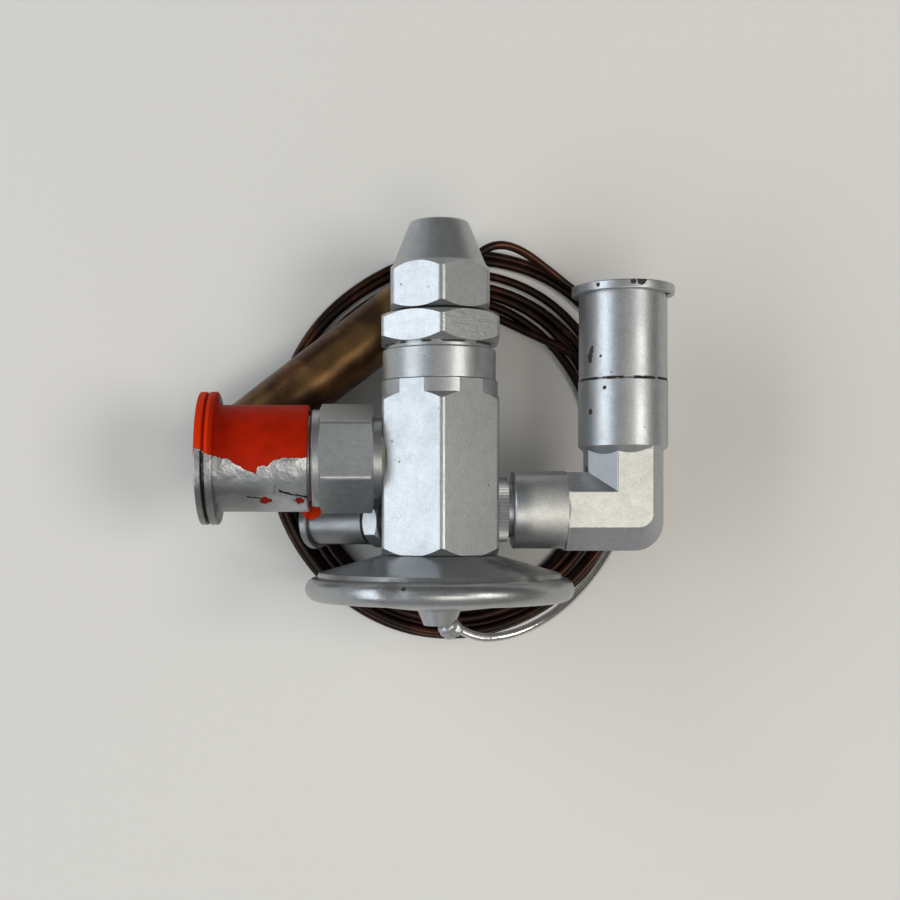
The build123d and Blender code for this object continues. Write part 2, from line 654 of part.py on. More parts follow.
def is_long(edge):
    """Whether an edge of the elbow's flat runs along a leg and not across its end."""
    middle = edge.center()
    across_neck = abs(middle.X - ELBOW_ROUND_END) < FIT
    return not across_neck and abs(middle.Y - ELBOW_UPRIGHT_START) > FIT


def elbow_lock_ring():
    """Serrated ring that locks the elbow's direction."""
    points = []
    for tooth in range(LOCK_RING_TEETH):
        for part, radius in ((0, LOCK_RING_R), (0.5, LOCK_RING_R - LOCK_RING_TOOTH)):
            turn = 2 * math.pi * (tooth + part) / LOCK_RING_TEETH
            points.append((radius * math.cos(turn), radius * math.sin(turn)))
    star = extrude(make_face(Polyline(*points, close=True)), LOCK_RING)
    return INLET * (Pos(0, 0, BODY_FLAT) * star - rod(INLET_PORT_R, BODY_FLAT, LOCK_RING_END))


def elbow_seal_ring():
    """Flat ring under the lock ring, sunk into the body."""
    return INLET * ring(
        INLET_RING_R, INLET_PORT_R - FIT + LOOSE, BODY_FLAT - INLET_RING_DEPTH, BODY_FLAT
    )


def inlet_strainer():
    """Mesh cup in the elbow's upright leg."""
    cup = rod(STRAINER_R, ELBOW_BORE_FLOOR, STRAINER_END)
    cup += rod(ELBOW_BORE_R - FIT, STRAINER_END - STRAINER_FLANGE, STRAINER_END)
    hollow = rod(STRAINER_R - STRAINER_WALL, ELBOW_BORE_FLOOR + STRAINER_WALL, STRAINER_END)
    return LEG * (cup - hollow)


def inlet_dust_cap():
    """Cap with one flange, screwed over the inlet thread."""
    flange = INLET_CAP_END - INLET_CAP_FLANGE
    cap = turned(
        (0, INLET_CAP_FLOOR),
        (ELBOW_THREAD_R + FIT, INLET_CAP_FLOOR),
        (ELBOW_THREAD_R + FIT, ELBOW_UPRIGHT_END),
        (INLET_CAP_R, ELBOW_UPRIGHT_END),
        (INLET_CAP_R, flange),
        (INLET_CAP_FLANGE_R, flange),
        (INLET_CAP_FLANGE_R, INLET_CAP_END),
        (0, INLET_CAP_END),
        soft=[
            (INLET_CAP_R, ELBOW_UPRIGHT_END),
            (INLET_CAP_FLANGE_R, flange),
            (INLET_CAP_FLANGE_R, INLET_CAP_END),
        ],
        soft_r=CAP_EDGE_R,
    )
    return LEG * cap


# ---- equalizer side ---------------------------------------------------------------
def equalizer_fitting():
    """Small hexagon fitting for the pressure line from the evaporator's outlet."""
    fitting = rod(EQUALIZER_SHANK_R, EQUALIZER_PORT_FLOOR, EQUALIZER_FACE)
    fitting += hexagon(
        EQUALIZER_AF, EQUALIZER_HEX_EDGE_R, EQUALIZER_FACE, EQUALIZER_HEX_END, EQUALIZER_HEX_TURN
    )
    fitting += rod(EQUALIZER_THREAD_R, EQUALIZER_HEX_END, EQUALIZER_THREAD_END)
    fitting += cone(
        EQUALIZER_THREAD_R,
        EQUALIZER_THREAD_END,
        EQUALIZER_THREAD_R - EQUALIZER_FLARE,
        EQUALIZER_NOSE_END,
    )
    return EQUALIZER * (fitting - rod(EQUALIZER_BORE_R, EQUALIZER_PORT_FLOOR, EQUALIZER_NOSE_END))


def equalizer_dust_cap():
    """Cap with one flange over the equalizer fitting."""
    flange = EQUALIZER_CAP_END - EQUALIZER_CAP_FLANGE
    cap = turned(
        (0, EQUALIZER_CAP_FLOOR),
        (EQUALIZER_THREAD_R + FIT, EQUALIZER_CAP_FLOOR),
        (EQUALIZER_THREAD_R + FIT, EQUALIZER_CAP_START),
        (EQUALIZER_CAP_R, EQUALIZER_CAP_START),
        (EQUALIZER_CAP_R, flange),
        (EQUALIZER_CAP_FLANGE_R, flange),
        (EQUALIZER_CAP_FLANGE_R, EQUALIZER_CAP_END),
        (0, EQUALIZER_CAP_END),
        soft=[(EQUALIZER_CAP_FLANGE_R, flange), (EQUALIZER_CAP_FLANGE_R, EQUALIZER_CAP_END)],
        soft_r=CAP_EDGE_R,
    )
    return EQUALIZER * cap


# ---- adjuster end -----------------------------------------------------------------
def adjuster_housing():
    """Round housing screwed into the body, with a threaded nose for nut and cap."""
    floor = BODY_LENGTH - HOUSING_DEPTH
    land_end = BODY_LENGTH + HOUSING_LAND
    housing = turned(
        (0, floor),
        (HOUSING_THREAD_R - FIT, floor),
        (HOUSING_THREAD_R - FIT, BODY_LENGTH),
        (HOUSING_R, BODY_LENGTH),
        (HOUSING_R, land_end),
        (HOUSING_UNDERCUT_R, land_end),
        (HOUSING_UNDERCUT_R, HOUSING_END),
        (HOUSING_NOSE_R, HOUSING_END),
        (HOUSING_NOSE_R, HOUSING_NOSE_END),
        (0, HOUSING_NOSE_END),
        soft=[(HOUSING_R, land_end), (HOUSING_R, BODY_LENGTH)],
    )
    housing -= rod(HOUSING_BORE_R, floor, STEM_SHOULDER)
    housing -= rod(STEM_R + FIT, STEM_SHOULDER, PACKING[0])
    housing -= rod(PACKING_R, PACKING[0], HOUSING_NOSE_END)
    return STEM * (housing - key(FIT, floor, STEM_SHOULDER))


def key(gap, start, end):
    """The spring seat's key, or its groove with a gap on each side."""
    width = SPRING_SEAT_KEY + 2 * gap
    height = 2 * (SPRING_SEAT_KEY_HEIGHT + gap)
    return Pos(HOUSING_BORE_R, 0, (start + end) / 2) * Box(height, width, end - start)


def lock_nut():
    """Hexagon nut on the housing's nose."""
    nut = hexagon(LOCK_NUT_AF, LOCK_NUT_EDGE_R, HOUSING_END, LOCK_NUT_END)
    return STEM * (nut - rod(HOUSING_NOSE_R + FIT, HOUSING_END, LOCK_NUT_END))


def seal_cap_gasket():
    """Soft ring between nut and seal cap."""
    return STEM * ring(GASKET_R, HOUSING_NOSE_R + LOOSE, LOCK_NUT_END, GASKET_END)


def seal_cap():
    """Hexagon cap with a coned top over the adjusting stem."""
    flat = SEAL_CAP_AF / 2
    corner = flat / math.cos(math.radians(30))
    cap = hexagon_bar(SEAL_CAP_AF, SEAL_CAP_CORNER_R, GASKET_END, SEAL_CAP_END) & turned(
        (0, GASKET_END),
        (flat, GASKET_END),
        (corner, GASKET_END + chamfer_drop(SEAL_CAP_AF)),
        (corner, SEAL_CAP_CORNER_END),
        (SEAL_CAP_CONE_R, SEAL_CAP_CONE_START),
        (SEAL_CAP_TOP_R, SEAL_CAP_END),
        (0, SEAL_CAP_END),
        soft=[(SEAL_CAP_TOP_R, SEAL_CAP_END)],
        soft_r=SEAL_CAP_EDGE_R,
    )
    bore_end = GASKET_END + SEAL_CAP_BORE
    cap -= rod(HOUSING_NOSE_R + FIT, GASKET_END, bore_end)
    cap -= rod(SEAL_CAP_TIP_R, bore_end, bore_end + SEAL_CAP_TIP)
    return STEM * cap


def adjusting_stem():
    """Stem with a square end, held by its collar, that drives the spring seat."""
    stem = rod(STEM_THREAD_R, STEM_START, STEM_COLLAR_START)
    stem += rod(STEM_COLLAR_R, STEM_COLLAR_START, STEM_SHOULDER)
    stem += rod(STEM_R, STEM_SHOULDER, STEM_SQUARE_START)
    middle = (STEM_SQUARE_START + STEM_END) / 2
    stem += Pos(0, 0, middle) * Box(STEM_SQUARE, STEM_SQUARE, STEM_END - STEM_SQUARE_START)
    return STEM * stem


def stem_packing():
    """Packing around the stem."""
    return STEM * ring(PACKING_R - FIT, STEM_R + FIT, *PACKING)


def packing_gland():
    """Slotted gland screw that presses the packing."""
    end = PACKING[1] + GLAND_LENGTH
    gland = ring(PACKING_R - FIT, STEM_R + FIT, PACKING[1], end)
    slot = Pos(0, 0, end) * Box(2 * PACKING_R, GLAND_SLOT, 2 * GLAND_SLOT)
    return STEM * (gland - slot)


# ---- spring, pin and rods ---------------------------------------------------------
def spring_seat():
    """Keyed nut on the stem's thread that sets the spring's load."""
    radius = HOUSING_BORE_R - SPRING_SEAT_GAP
    start = SPRING_SEAT[0] - SPRING_SEAT_HUB
    seat = rod(radius, *SPRING_SEAT) + rod(SPRING_SEAT_HUB_R, start, SPRING_SEAT[0])
    seat += key(0, *SPRING_SEAT) & rod(HOUSING_BORE_R + SPRING_SEAT_KEY_HEIGHT, *SPRING_SEAT)
    return STEM * (seat - rod(STEM_THREAD_R + FIT, start, SPRING_SEAT[1]))


def superheat_spring():
    """Helical spring between pin carrier and spring seat."""
    low = CARRIER_END + SPRING_WIRE_R + FIT
    high = SPRING_SEAT[0] - SPRING_WIRE_R - FIT
    path = Pos(0, 0, low) * Helix((high - low) / SPRING_TURNS, high - low, SPRING_COIL_R)
    section = Plane(origin=path @ 0, z_dir=path % 0) * Circle(SPRING_WIRE_R)
    return STEM * sweep(section, path=path, is_frenet=True)


def pin_carrier():
    """Disc that the push rods move, with a boss inside the spring."""
    carrier = rod(CARRIER_R, CARRIER_START, CARRIER_END)
    carrier += rod(CARRIER_BOSS_R, CARRIER_END, CARRIER_END + CARRIER_BOSS_LENGTH)
    return STEM * (carrier - rod(PIN_R, CARRIER_START, CARRIER_END))


def valve_pin():
    """Pin whose coned tip closes the port."""
    pin = rod(PIN_R, CARRIER_START, CARRIER_END)
    pin += cone(PIN_TIP_R, CARRIER_START - PIN_CONE_LENGTH, PIN_R, CARRIER_START)
    return STEM * pin


def push_rods():
    """Rods between the buffer plate and the pin carrier."""
    return STEM * Compound(rod_places(ROD_R, BUFFER_END, CARRIER_START))


# ---- power head -------------------------------------------------------------------
def head_base_cup():
    """Dished cup on the body's side, with a hub and half of the rounded rim."""
    rim_start = (HEAD_RIM_CENTRE, HEAD_MIDDLE + HEAD_RIM_R)
    outline = Polyline(
        (HEAD_R, HEAD_MIDDLE),
        (DIAPHRAGM_R, HEAD_MIDDLE),
        (DIAPHRAGM_R, DIAPHRAGM_END),
        (HEAD_CAVITY_R, DIAPHRAGM_END),
        (HEAD_CAVITY_R, HEAD_SHOULDER - HEAD_CAVITY_DROP),
        (HEAD_HUB_R, -HEAD_HUB_LENGTH),
        (SPIGOT_R + FIT, -HEAD_HUB_LENGTH),
        (SPIGOT_R + FIT, -HEAD_RING_DEPTH),
        (HEAD_RING_R, -HEAD_RING_DEPTH),
        (HEAD_RING_R, 0),
        (HEAD_HUB_R, 0),
        (HEAD_RIM_CENTRE - HEAD_SHOULDER_STEP, HEAD_SHOULDER),
        rim_start,
    )
    rim = rim_arc(rim_start, (HEAD_R, HEAD_MIDDLE), 1)
    return STEM * revolve(Plane.XZ * make_face([outline, rim]), Axis.Z)


def rim_arc(start, end, side):
    """Quarter of the rim's round section, above (1) or below (-1) its middle."""
    middle = HEAD_RIM_R * math.sin(math.radians(45))
    return ThreePointArc(start, (HEAD_RIM_CENTRE + middle, HEAD_MIDDLE + side * middle), end)


def head_cover_cup():
    """Dished cup on the outer side, with the other half of the rim."""
    inner = HEAD_COVER_END + HEAD_SHEET
    cavity = HEAD_MIDDLE - HEAD_COVER_CAVITY
    rim_end = (HEAD_RIM_CENTRE, HEAD_MIDDLE - HEAD_RIM_R)
    outline = Polyline(
        rim_end,
        (HEAD_CAVITY_R, HEAD_MIDDLE - HEAD_COVER_DROP),
        (HEAD_CENTRE_R, HEAD_COVER_END),
        (CHARGE_HOLE_R, HEAD_COVER_END),
        (CHARGE_HOLE_R, inner),
        (HEAD_CENTRE_R, inner),
        (HEAD_CAVITY_R - HEAD_SHEET, cavity),
        (HEAD_CAVITY_R, cavity),
        (HEAD_CAVITY_R, HEAD_MIDDLE),
        (HEAD_R, HEAD_MIDDLE),
    )
    rim = rim_arc((HEAD_R, HEAD_MIDDLE), rim_end, -1)
    return STEM * revolve(Plane.XZ * make_face([outline, rim]), Axis.Z)


def diaphragm():
    """Thin disc clamped between the cups."""
    return STEM * rod(DIAPHRAGM_R, HEAD_MIDDLE, DIAPHRAGM_END)


def buffer_plate():
    """Plate that carries the diaphragm's movement to the push rods."""
    return STEM * rod(BUFFER_R, DIAPHRAGM_END, BUFFER_END)


def head_gasket():
    """Ring between the power head's hub and the body."""
    return STEM * ring(HEAD_RING_R - FIT, SPIGOT_R + LOOSE, -HEAD_RING_DEPTH, 0)


def capillary_boss(lead):
    """Coned boss on the power head that the capillary tube is brazed into."""
    boss = cone(BOSS_TIP_R, BOSS_END, BOSS_R, HEAD_COVER_END)
    boss -= rod(CHARGE_HOLE_R, LEAD_POINTS[0][1], HEAD_COVER_END)
    return STEM * boss - lead


def braze_fillet(lead, boss):
    """Braze around the tube where it leaves the boss."""
    first = Vector(*at(*LEAD_POINTS[0]))
    heading = (Vector(*at(*LEAD_POINTS[1])) - first).normalized()
    start = first + heading * BRAZE_AT[0]
    blob = Plane(origin=start, z_dir=heading) * cone(BRAZE_R, 0, BRAZE_TIP_R, BRAZE_AT[1] + BRAZE_R)
    return blob - lead - boss


# ---- capillary coil and bulb ------------------------------------------------------
def capillary_coil():
    """Outer shape of the loose coil: a ring of strands, two deep towards the head."""
    centre = Pos(*at(*COIL_CENTRE, 0))
    coil = centre * ring(COIL_R, COIL_INNER_R, 0, COIL_LAYER)
    upper = centre * ring(COIL_R, COIL_INNER_R, COIL_LAYER, 2 * COIL_LAYER)
    reach = 2 * COIL_R
    keep = Pos(*at(COIL_CENTRE[0], COIL_UPPER_STATION - reach / 2, 0)) * Box(
        2 * reach, reach, reach
    )
    coil += upper & keep
    head_space = COIL_CENTRE[1] - COIL_HEAD_STATION
    head_middle = (COIL_CENTRE[1] + COIL_HEAD_STATION) / 2
    return coil - Pos(*at(0, head_middle, 0)) * Box(
        2 * COIL_HEAD_HALF, head_space, 4 * COIL_LAYER
    )


def sensing_bulb():
    """Closed cylinder with a small neck for the tube."""
    bulb = rod(BULB_R, -BULB_LENGTH, 0)
    bulb = fillet(bulb.edges(), BULB_EDGE_R)
    bulb += rod(BULB_NECK_R, -BULB_EDGE_R, BULB_NECK)
    return BULB * bulb


def tail_points():
    """The tail's route, ended by a straight run into the bulb's neck."""
    mouth = BULB.from_local_coords(Vector(0, 0, BULB_NECK))
    before = BULB.from_local_coords(Vector(0, 0, BULB_NECK + TAIL_RUN))
    return [at(*p) for p in TAIL_POINTS] + [tuple(before), tuple(mouth)]


def build():
    """Every node's name and solid."""
    lead = tube("capillary_lead", [at(*p) for p in LEAD_POINTS])
    boss = capillary_boss(lead)
    return {
        "valve_body": valve_body(),
        "rod_guide": rod_guide(),
        "valve_seat": valve_seat(),
        "outlet_adapter": outlet_adapter(),
        "outlet_seal_ring": outlet_seal_ring(),
        "outlet_dust_cap": outlet_dust_cap(),
        "inlet_elbow": inlet_elbow(),
        "elbow_lock_ring": elbow_lock_ring(),
        "elbow_seal_ring": elbow_seal_ring(),
        "inlet_strainer": inlet_strainer(),
        "inlet_dust_cap": inlet_dust_cap(),
        "equalizer_fitting": equalizer_fitting(),
        "equalizer_dust_cap": equalizer_dust_cap(),
        "adjuster_housing": adjuster_housing(),
        "lock_nut": lock_nut(),
        "seal_cap_gasket": seal_cap_gasket(),
        "seal_cap": seal_cap(),
        "adjusting_stem": adjusting_stem(),
        "stem_packing": stem_packing(),
        "packing_gland": packing_gland(),
        "spring_seat": spring_seat(),
        "superheat_spring": superheat_spring(),
        "pin_carrier": pin_carrier(),
        "valve_pin": valve_pin(),
        "push_rods": push_rods(),
        "head_base_cup": head_base_cup(),
        "head_cover_cup": head_cover_cup(),
        "diaphragm": diaphragm(),
        "buffer_plate": buffer_plate(),
        "head_gasket": head_gasket(),
        "capillary_boss": boss,
        "braze_fillet": braze_fillet(lead, boss),
        "capillary_lead": lead,
        "capillary_coil": capillary_coil(),
        "capillary_tail": tube("capillary_tail", tail_points()),
        "sensing_bulb": sensing_bulb(),
    }


if __name__ == "__main__":
    for node, shape in build().items():
        export_step(shape, f"parts/{node}.step")
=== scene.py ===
"""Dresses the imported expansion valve: finishes, capillary tube, bulb, braze and studio."""

import json
import logging
import math
from dataclasses import dataclass, field
from enum import Enum

import bpy
from mathutils import Euler, Matrix, Vector

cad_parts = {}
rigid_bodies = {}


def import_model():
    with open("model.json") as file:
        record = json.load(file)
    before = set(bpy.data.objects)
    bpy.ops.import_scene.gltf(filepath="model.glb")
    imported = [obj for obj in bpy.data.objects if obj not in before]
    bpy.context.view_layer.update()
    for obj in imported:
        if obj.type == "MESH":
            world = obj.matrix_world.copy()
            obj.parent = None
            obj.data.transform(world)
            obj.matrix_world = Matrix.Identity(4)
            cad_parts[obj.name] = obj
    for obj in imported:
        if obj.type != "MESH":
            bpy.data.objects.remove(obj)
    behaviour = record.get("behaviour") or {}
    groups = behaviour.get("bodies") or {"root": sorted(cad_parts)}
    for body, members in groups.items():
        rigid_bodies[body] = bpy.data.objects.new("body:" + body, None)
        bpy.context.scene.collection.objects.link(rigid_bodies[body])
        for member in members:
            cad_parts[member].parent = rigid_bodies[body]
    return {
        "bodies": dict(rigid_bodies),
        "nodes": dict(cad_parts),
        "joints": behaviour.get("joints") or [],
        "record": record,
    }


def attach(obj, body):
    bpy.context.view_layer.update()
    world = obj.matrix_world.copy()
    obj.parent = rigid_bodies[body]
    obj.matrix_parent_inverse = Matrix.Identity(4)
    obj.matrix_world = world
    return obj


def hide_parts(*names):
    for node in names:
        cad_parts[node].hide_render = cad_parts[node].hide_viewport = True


LOG = logging.getLogger("expansion_valve")
MM = 0.001
AXIS = Vector((0.375, -34.0, 35.0))  # stem axis at the body's face, millimetres

# stations along the stem axis and offsets from it, in millimetres
OUTLET_STATION = 25.0
OUTLET_COLLAR_END = 33.4
OUTLET_THREAD = (35.0, 50.0)
CAP_BORE_R = 12.8
CAP_BORE_END = 57.4
CAP_FLANGE_START = 58.5
CAP_GROOVE = 59.9
CAP_FACE = 61.7
ELBOW_BLOCK_OFFSET = 33.2
ELBOW_BLOCK_END = 27.0
ELBOW_LEG = 48.0
ELBOW_UPRIGHT_END = 45.1
ELBOW_THREAD = (46.6, 60.5)
BODY_END = 44.6
HOUSING_END = 54.15
GASKET_END = 63.1
HOUSING_THREAD = (63.3, 71.6)

ORANGE = (0.44, 0.014, 0.001)
# the same orange plastic drawn brighter, a painted highlight on the caps' rims
LIT_ORANGE = (0.68, 0.034, 0.003)
PLASTIC_SPECULAR = 0.06

Point = tuple[float, float, float]
Color = tuple[float, float, float]
Socket = bpy.types.NodeSocket
Node = bpy.types.Node


def place(offset: float, station: float, height: float) -> Vector:
    """Turns an offset, a station along the stem and a height in millimetres into metres."""
    return Vector((AXIS.x + offset, AXIS.y + station, height)) * MM


def from_axis(offset: float, station: float, above: float) -> Vector:
    """Like place, but the height is counted from the stem axis."""
    return place(offset, station, AXIS.z + above)


# ---- materials ---------------------------------------------------------------------


class Net:
    """A node tree with short ways to add and join its nodes."""

    def __init__(self, tree: bpy.types.NodeTree) -> None:
        """Empties the tree and keeps it.

        Args:
            tree: The material's, group's or world's node tree.
        """
        self.tree = tree
        tree.nodes.clear()

    def add(self, kind: str, **settings: object) -> Node:
        """Adds a node.

        Args:
            kind: The node's type name.
            **settings: Properties of the node, and inputs with spaces as underscores.

        Returns:
            The new node.
        """
        node = self.tree.nodes.new(kind)
        self.set(node, **settings)
        return node

    def set(self, node: Node, **settings: object) -> None:
        """Sets a node's inputs and properties.

        Args:
            node: The node.
            **settings: Properties, and inputs with spaces as underscores.
        """
        inputs = {s.name.replace(" ", "_"): s for s in reversed(node.inputs)}
        for name, value in settings.items():
            if name in inputs:
                self.feed(value, inputs[name])
            else:
                setattr(node, name, value)

    def feed(self, value: object, socket: Socket) -> None:
        """Links a socket or sets a constant on an input."""
        if isinstance(value, Socket):
            self.tree.links.new(value, socket)
        elif isinstance(value, tuple) and len(value) == 3 and socket.type == "RGBA":
            socket.default_value = (*value, 1.0)
        else:
            socket.default_value = value

    def math(self, operation: str, *values: object) -> Socket:
        """Adds a Math node and gives its result."""
        node = self.tree.nodes.new("ShaderNodeMath")
        node.operation = operation
        for value, socket in zip(values, node.inputs):
            self.feed(value, socket)
        return node.outputs[0]

    def times(self, first: object, second: object) -> Socket:
        """Multiplies two numbers."""
        return self.math("MULTIPLY", first, second)

    def plus(self, first: object, second: object) -> Socket:
        """Adds two numbers."""
        return self.math("ADD", first, second)

    def minus(self, first: object, second: object) -> Socket:
        """Takes the second number from the first."""
        return self.math("SUBTRACT", first, second)

    def most(self, first: object, second: object) -> Socket:
        """Gives the larger of two numbers, which joins two masks."""
        return self.math("MAXIMUM", first, second)

    def size(self, value: object) -> Socket:
        """Gives a number without its sign."""
        return self.math("ABSOLUTE", value)

    def ramp(self, value: object, low: float, high: float) -> Socket:
        """Maps a value from low..high to a smooth 0..1 mask; low may lie above high."""
        node = self.tree.nodes.new("ShaderNodeMapRange")
        node.interpolation_type = "SMOOTHSTEP"
        self.feed(value, node.inputs["Value"])
        lowest, highest = (low, high) if low < high else (high, low)
        node.inputs["From Min"].default_value = lowest
        node.inputs["From Max"].default_value = highest
        if low > high:
            node.inputs["To Min"].default_value = 1.0
            node.inputs["To Max"].default_value = 0.0
        return node.outputs["Result"]

    def mix(self, factor: object, first: object, second: object) -> Socket:
        """Mixes two colours by a factor."""
        node = self.tree.nodes.new("ShaderNodeMix")
        node.data_type = "RGBA"
        self.feed(factor, node.inputs[0])
        self.feed(first, node.inputs[6])
        self.feed(second, node.inputs[7])
        return node.outputs[2]

    def blend(self, factor: object, first: object, second: object) -> Socket:
        """Mixes two numbers by a factor."""
        node = self.tree.nodes.new("ShaderNodeMix")
        node.data_type = "FLOAT"
        for value, socket in zip((factor, first, second), (0, 2, 3)):
            self.feed(value, node.inputs[socket])
        return node.outputs[0]

    def noise(self, scale: object, detail: float = 3.0, vector: object = None,
              rough: float = 0.55) -> Socket:
        """Adds object-space noise, scale in features per metre, and gives its value."""
        node = self.tree.nodes.new("ShaderNodeTexNoise")
        self.feed(vector or self.object_point(), node.inputs["Vector"])
        self.feed(scale, node.inputs["Scale"])
        node.inputs["Detail"].default_value = detail
        node.inputs["Roughness"].default_value = rough
        return node.outputs["Fac"]

    def wander(self, scale: float, detail: float, reach: object) -> Socket:
        """Gives object-space noise around 0 that spans about the given reach."""
        return self.times(self.minus(self.noise(scale, detail), 0.5), reach)

    def tint(self, color: object, tone: object) -> Socket:
        """Scales a colour by a number."""
        node = self.add("ShaderNodeVectorMath", operation="SCALE")
        self.feed(color, node.inputs[0])
        self.feed(tone, node.inputs["Scale"])
        return node.outputs[0]

    def object_point(self) -> Socket:
        """Gives the Object coordinate."""
        return self.add("ShaderNodeTexCoord").outputs["Object"]

    def axes(self) -> tuple[Socket, ...]:
        """Gives the Object coordinate's three components, in metres."""
        return tuple(self.add("ShaderNodeSeparateXYZ", Vector=self.object_point()).outputs)

    def facing(self) -> tuple[Socket, ...]:
        """Gives the surface normal's three components."""
        normal = self.add("ShaderNodeTexCoord").outputs["Normal"]
        return tuple(self.add("ShaderNodeSeparateXYZ", Vector=normal).outputs)

    def near(self, centre: Vector, radius: float, ragged: float,
             soft: float = 0.04) -> Socket:
        """Gives a mask that is 1 within a ragged distance of a point.

        Args:
            centre: The spot's middle in metres.
            radius: Its radius in metres.
            ragged: How far its edge wanders, as a share of the radius.
            soft: How soft its edge is, as a share of the radius.

        Returns:
            The mask.
        """
        node = self.tree.nodes.new("ShaderNodeVectorMath")
        node.operation = "DISTANCE"
        self.feed(self.object_point(), node.inputs[0])
        node.inputs[1].default_value = centre
        wander = self.times(self.noise(1.6 / radius, 2.0), ragged * 2 * radius)
        reach = self.plus(node.outputs["Value"], wander)
        edge = radius * (1 + ragged)
        return self.ramp(reach, edge * (1 + soft), edge * (1 - soft))


class Effect(Enum):
    """Shared surface effects, each built once as a node group."""

    GRAIN = "paint grain"
    SPOTS = "scattered spots"
    SMUDGE = "handling smudges"


def effect_group(effect: Effect) -> bpy.types.NodeTree:
    """Builds an effect's node group, or gives the one already built.

    Args:
        effect: Which effect.

    Returns:
        The group, with Scale and Amount inputs and one Value output.
    """
    if effect.value in bpy.data.node_groups:
        return bpy.data.node_groups[effect.value]
    tree = bpy.data.node_groups.new(effect.value, "ShaderNodeTree")
    for name, default in (("Scale", 1000.0), ("Amount", 0.5)):
        tree.interface.new_socket(name, in_out="INPUT", socket_type="NodeSocketFloat")
        tree.interface.items_tree[name].default_value = default
    tree.interface.new_socket("Value", in_out="OUTPUT", socket_type="NodeSocketFloat")
    net = Net(tree)
    given = net.add("NodeGroupInput")
    scale, amount = given.outputs["Scale"], given.outputs["Amount"]
    if effect is Effect.GRAIN:
        fine = net.noise(scale, 3.0, rough=0.7)
        wide = net.noise(net.times(scale, 0.22), 2.0)
        value = net.plus(net.times(fine, 0.7), net.times(wide, 0.3))
        value = net.times(net.minus(value, 0.5), amount)
    elif effect is Effect.SPOTS:
        cells = net.add("ShaderNodeTexVoronoi", Vector=net.object_point(), Scale=scale)
        cells.inputs["Randomness"].default_value = 1.0
        size = net.times(net.noise(net.times(scale, 0.31), 1.0), amount)
        value = net.ramp(net.minus(size, cells.outputs["Distance"]), 0.0, 0.05)
    else:
        cloud = net.noise(scale, 4.0, rough=0.62)
        value = net.times(net.ramp(cloud, 0.45, 0.72), amount)
    output = net.add("NodeGroupOutput")
    net.feed(value, output.inputs["Value"])
    return tree


def effect_value(net: Net, effect: Effect, scale: float, amount: float) -> Socket:
    """Places an effect's group in a material.

    Args:
        net: The material's net.
        effect: Which effect.
        scale: Features per metre.
        amount: The effect's strength.

    Returns:
        The group's value.
    """
    node = net.tree.nodes.new("ShaderNodeGroup")
    node.node_tree = effect_group(effect)
    node.inputs["Scale"].default_value = scale
    node.inputs["Amount"].default_value = amount
    return node.outputs["Value"]


def shaded(color: Color, share: float) -> Color:
    """Gives a colour at a share of its brightness."""
    return tuple(share * c for c in color)


def new_material(name: str) -> tuple[bpy.types.Material, Net, Node]:
    """Makes a material with a Principled shader joined to its output.

    Args:
        name: The material's name.

    Returns:
        The material, its net and the shader node.
    """
    material = bpy.data.materials.new(name)
    material.use_nodes = True
    net = Net(material.node_tree)
    shader = net.add("ShaderNodeBsdfPrincipled")
    net.add("ShaderNodeOutputMaterial", Surface=shader.outputs[0])
    return material, net, shader


def bump(net: Net, shader: Node, height: object, depth: float) -> None:
    """Joins a height to the shader's normal; depth is the height's scale in metres."""
    node = net.add("ShaderNodeBump", Height=height, Distance=depth)
    node.inputs["Strength"].default_value = 1.0
    net.feed(node.outputs[0], shader.inputs["Normal"])


@dataclass(frozen=True)
class Chip:
    """A place where paint has come off: its middle in metres and its radius."""

    at: Vector
    radius: float


def spots(*places: tuple[float, float, float, float]) -> tuple[Chip, ...]:
    """Makes chips from offset, station, height over the stem axis and radius, in millimetres."""
    return tuple(Chip(from_axis(*spot[:3]), spot[3] * MM) for spot in places)


@dataclass(frozen=True)
class Seam:
    """A joint drawn as a broken dark line, its station and half its width: cracked paint, and at
    the housing's joints also painted crevice shade.
    """

    station: float
    half: float = 0.45


@dataclass(frozen=True)
class BareNose:
    """A threaded nose that its cap has kept clear of paint, so that brass shows.

    Stations are millimetres along the nose: the paint's end, then the thread's two ends.
    The line is the offset of a nose that points along +Y, or the station of one across it.
    """

    bare_from: float
    thread: tuple[float, float]
    line: float = 0.0
    across: bool = False  # whether the nose points along -X
    pitch: float = 1.8
    runout: float = 0.4

    def masks(self, net: Net) -> tuple[Socket, Socket]:
        """Gives the mask of the bare metal and the height of its thread, 0 to 1.

        Args:
            net: The material's net.

        Returns:
            The mask and the height.
        """
        x, y, z = net.axes()
        if self.across:
            out, side = net.minus(AXIS.x * MM, x), net.minus(y, (AXIS.y + self.line) * MM)
        else:
            out, side = net.minus(y, AXIS.y * MM), net.minus(x, (AXIS.x + self.line) * MM)
        out = net.times(out, 1 / MM)
        turn = net.math("ARCTAN2", side, net.minus(z, AXIS.z * MM))
        turn = net.times(turn, self.pitch / math.tau)
        wave = net.math("PINGPONG", net.plus(out, turn), self.pitch / 2)
        wave = net.times(wave, 2 / self.pitch)
        start, end = self.thread
        cut = net.times(net.ramp(out, start, start + self.runout),
                        net.ramp(out, end, end - self.runout))
        height = net.minus(1.0, net.times(cut, net.minus(1.0, wave)))
        return net.ramp(out, self.bare_from, self.bare_from + 0.1), height


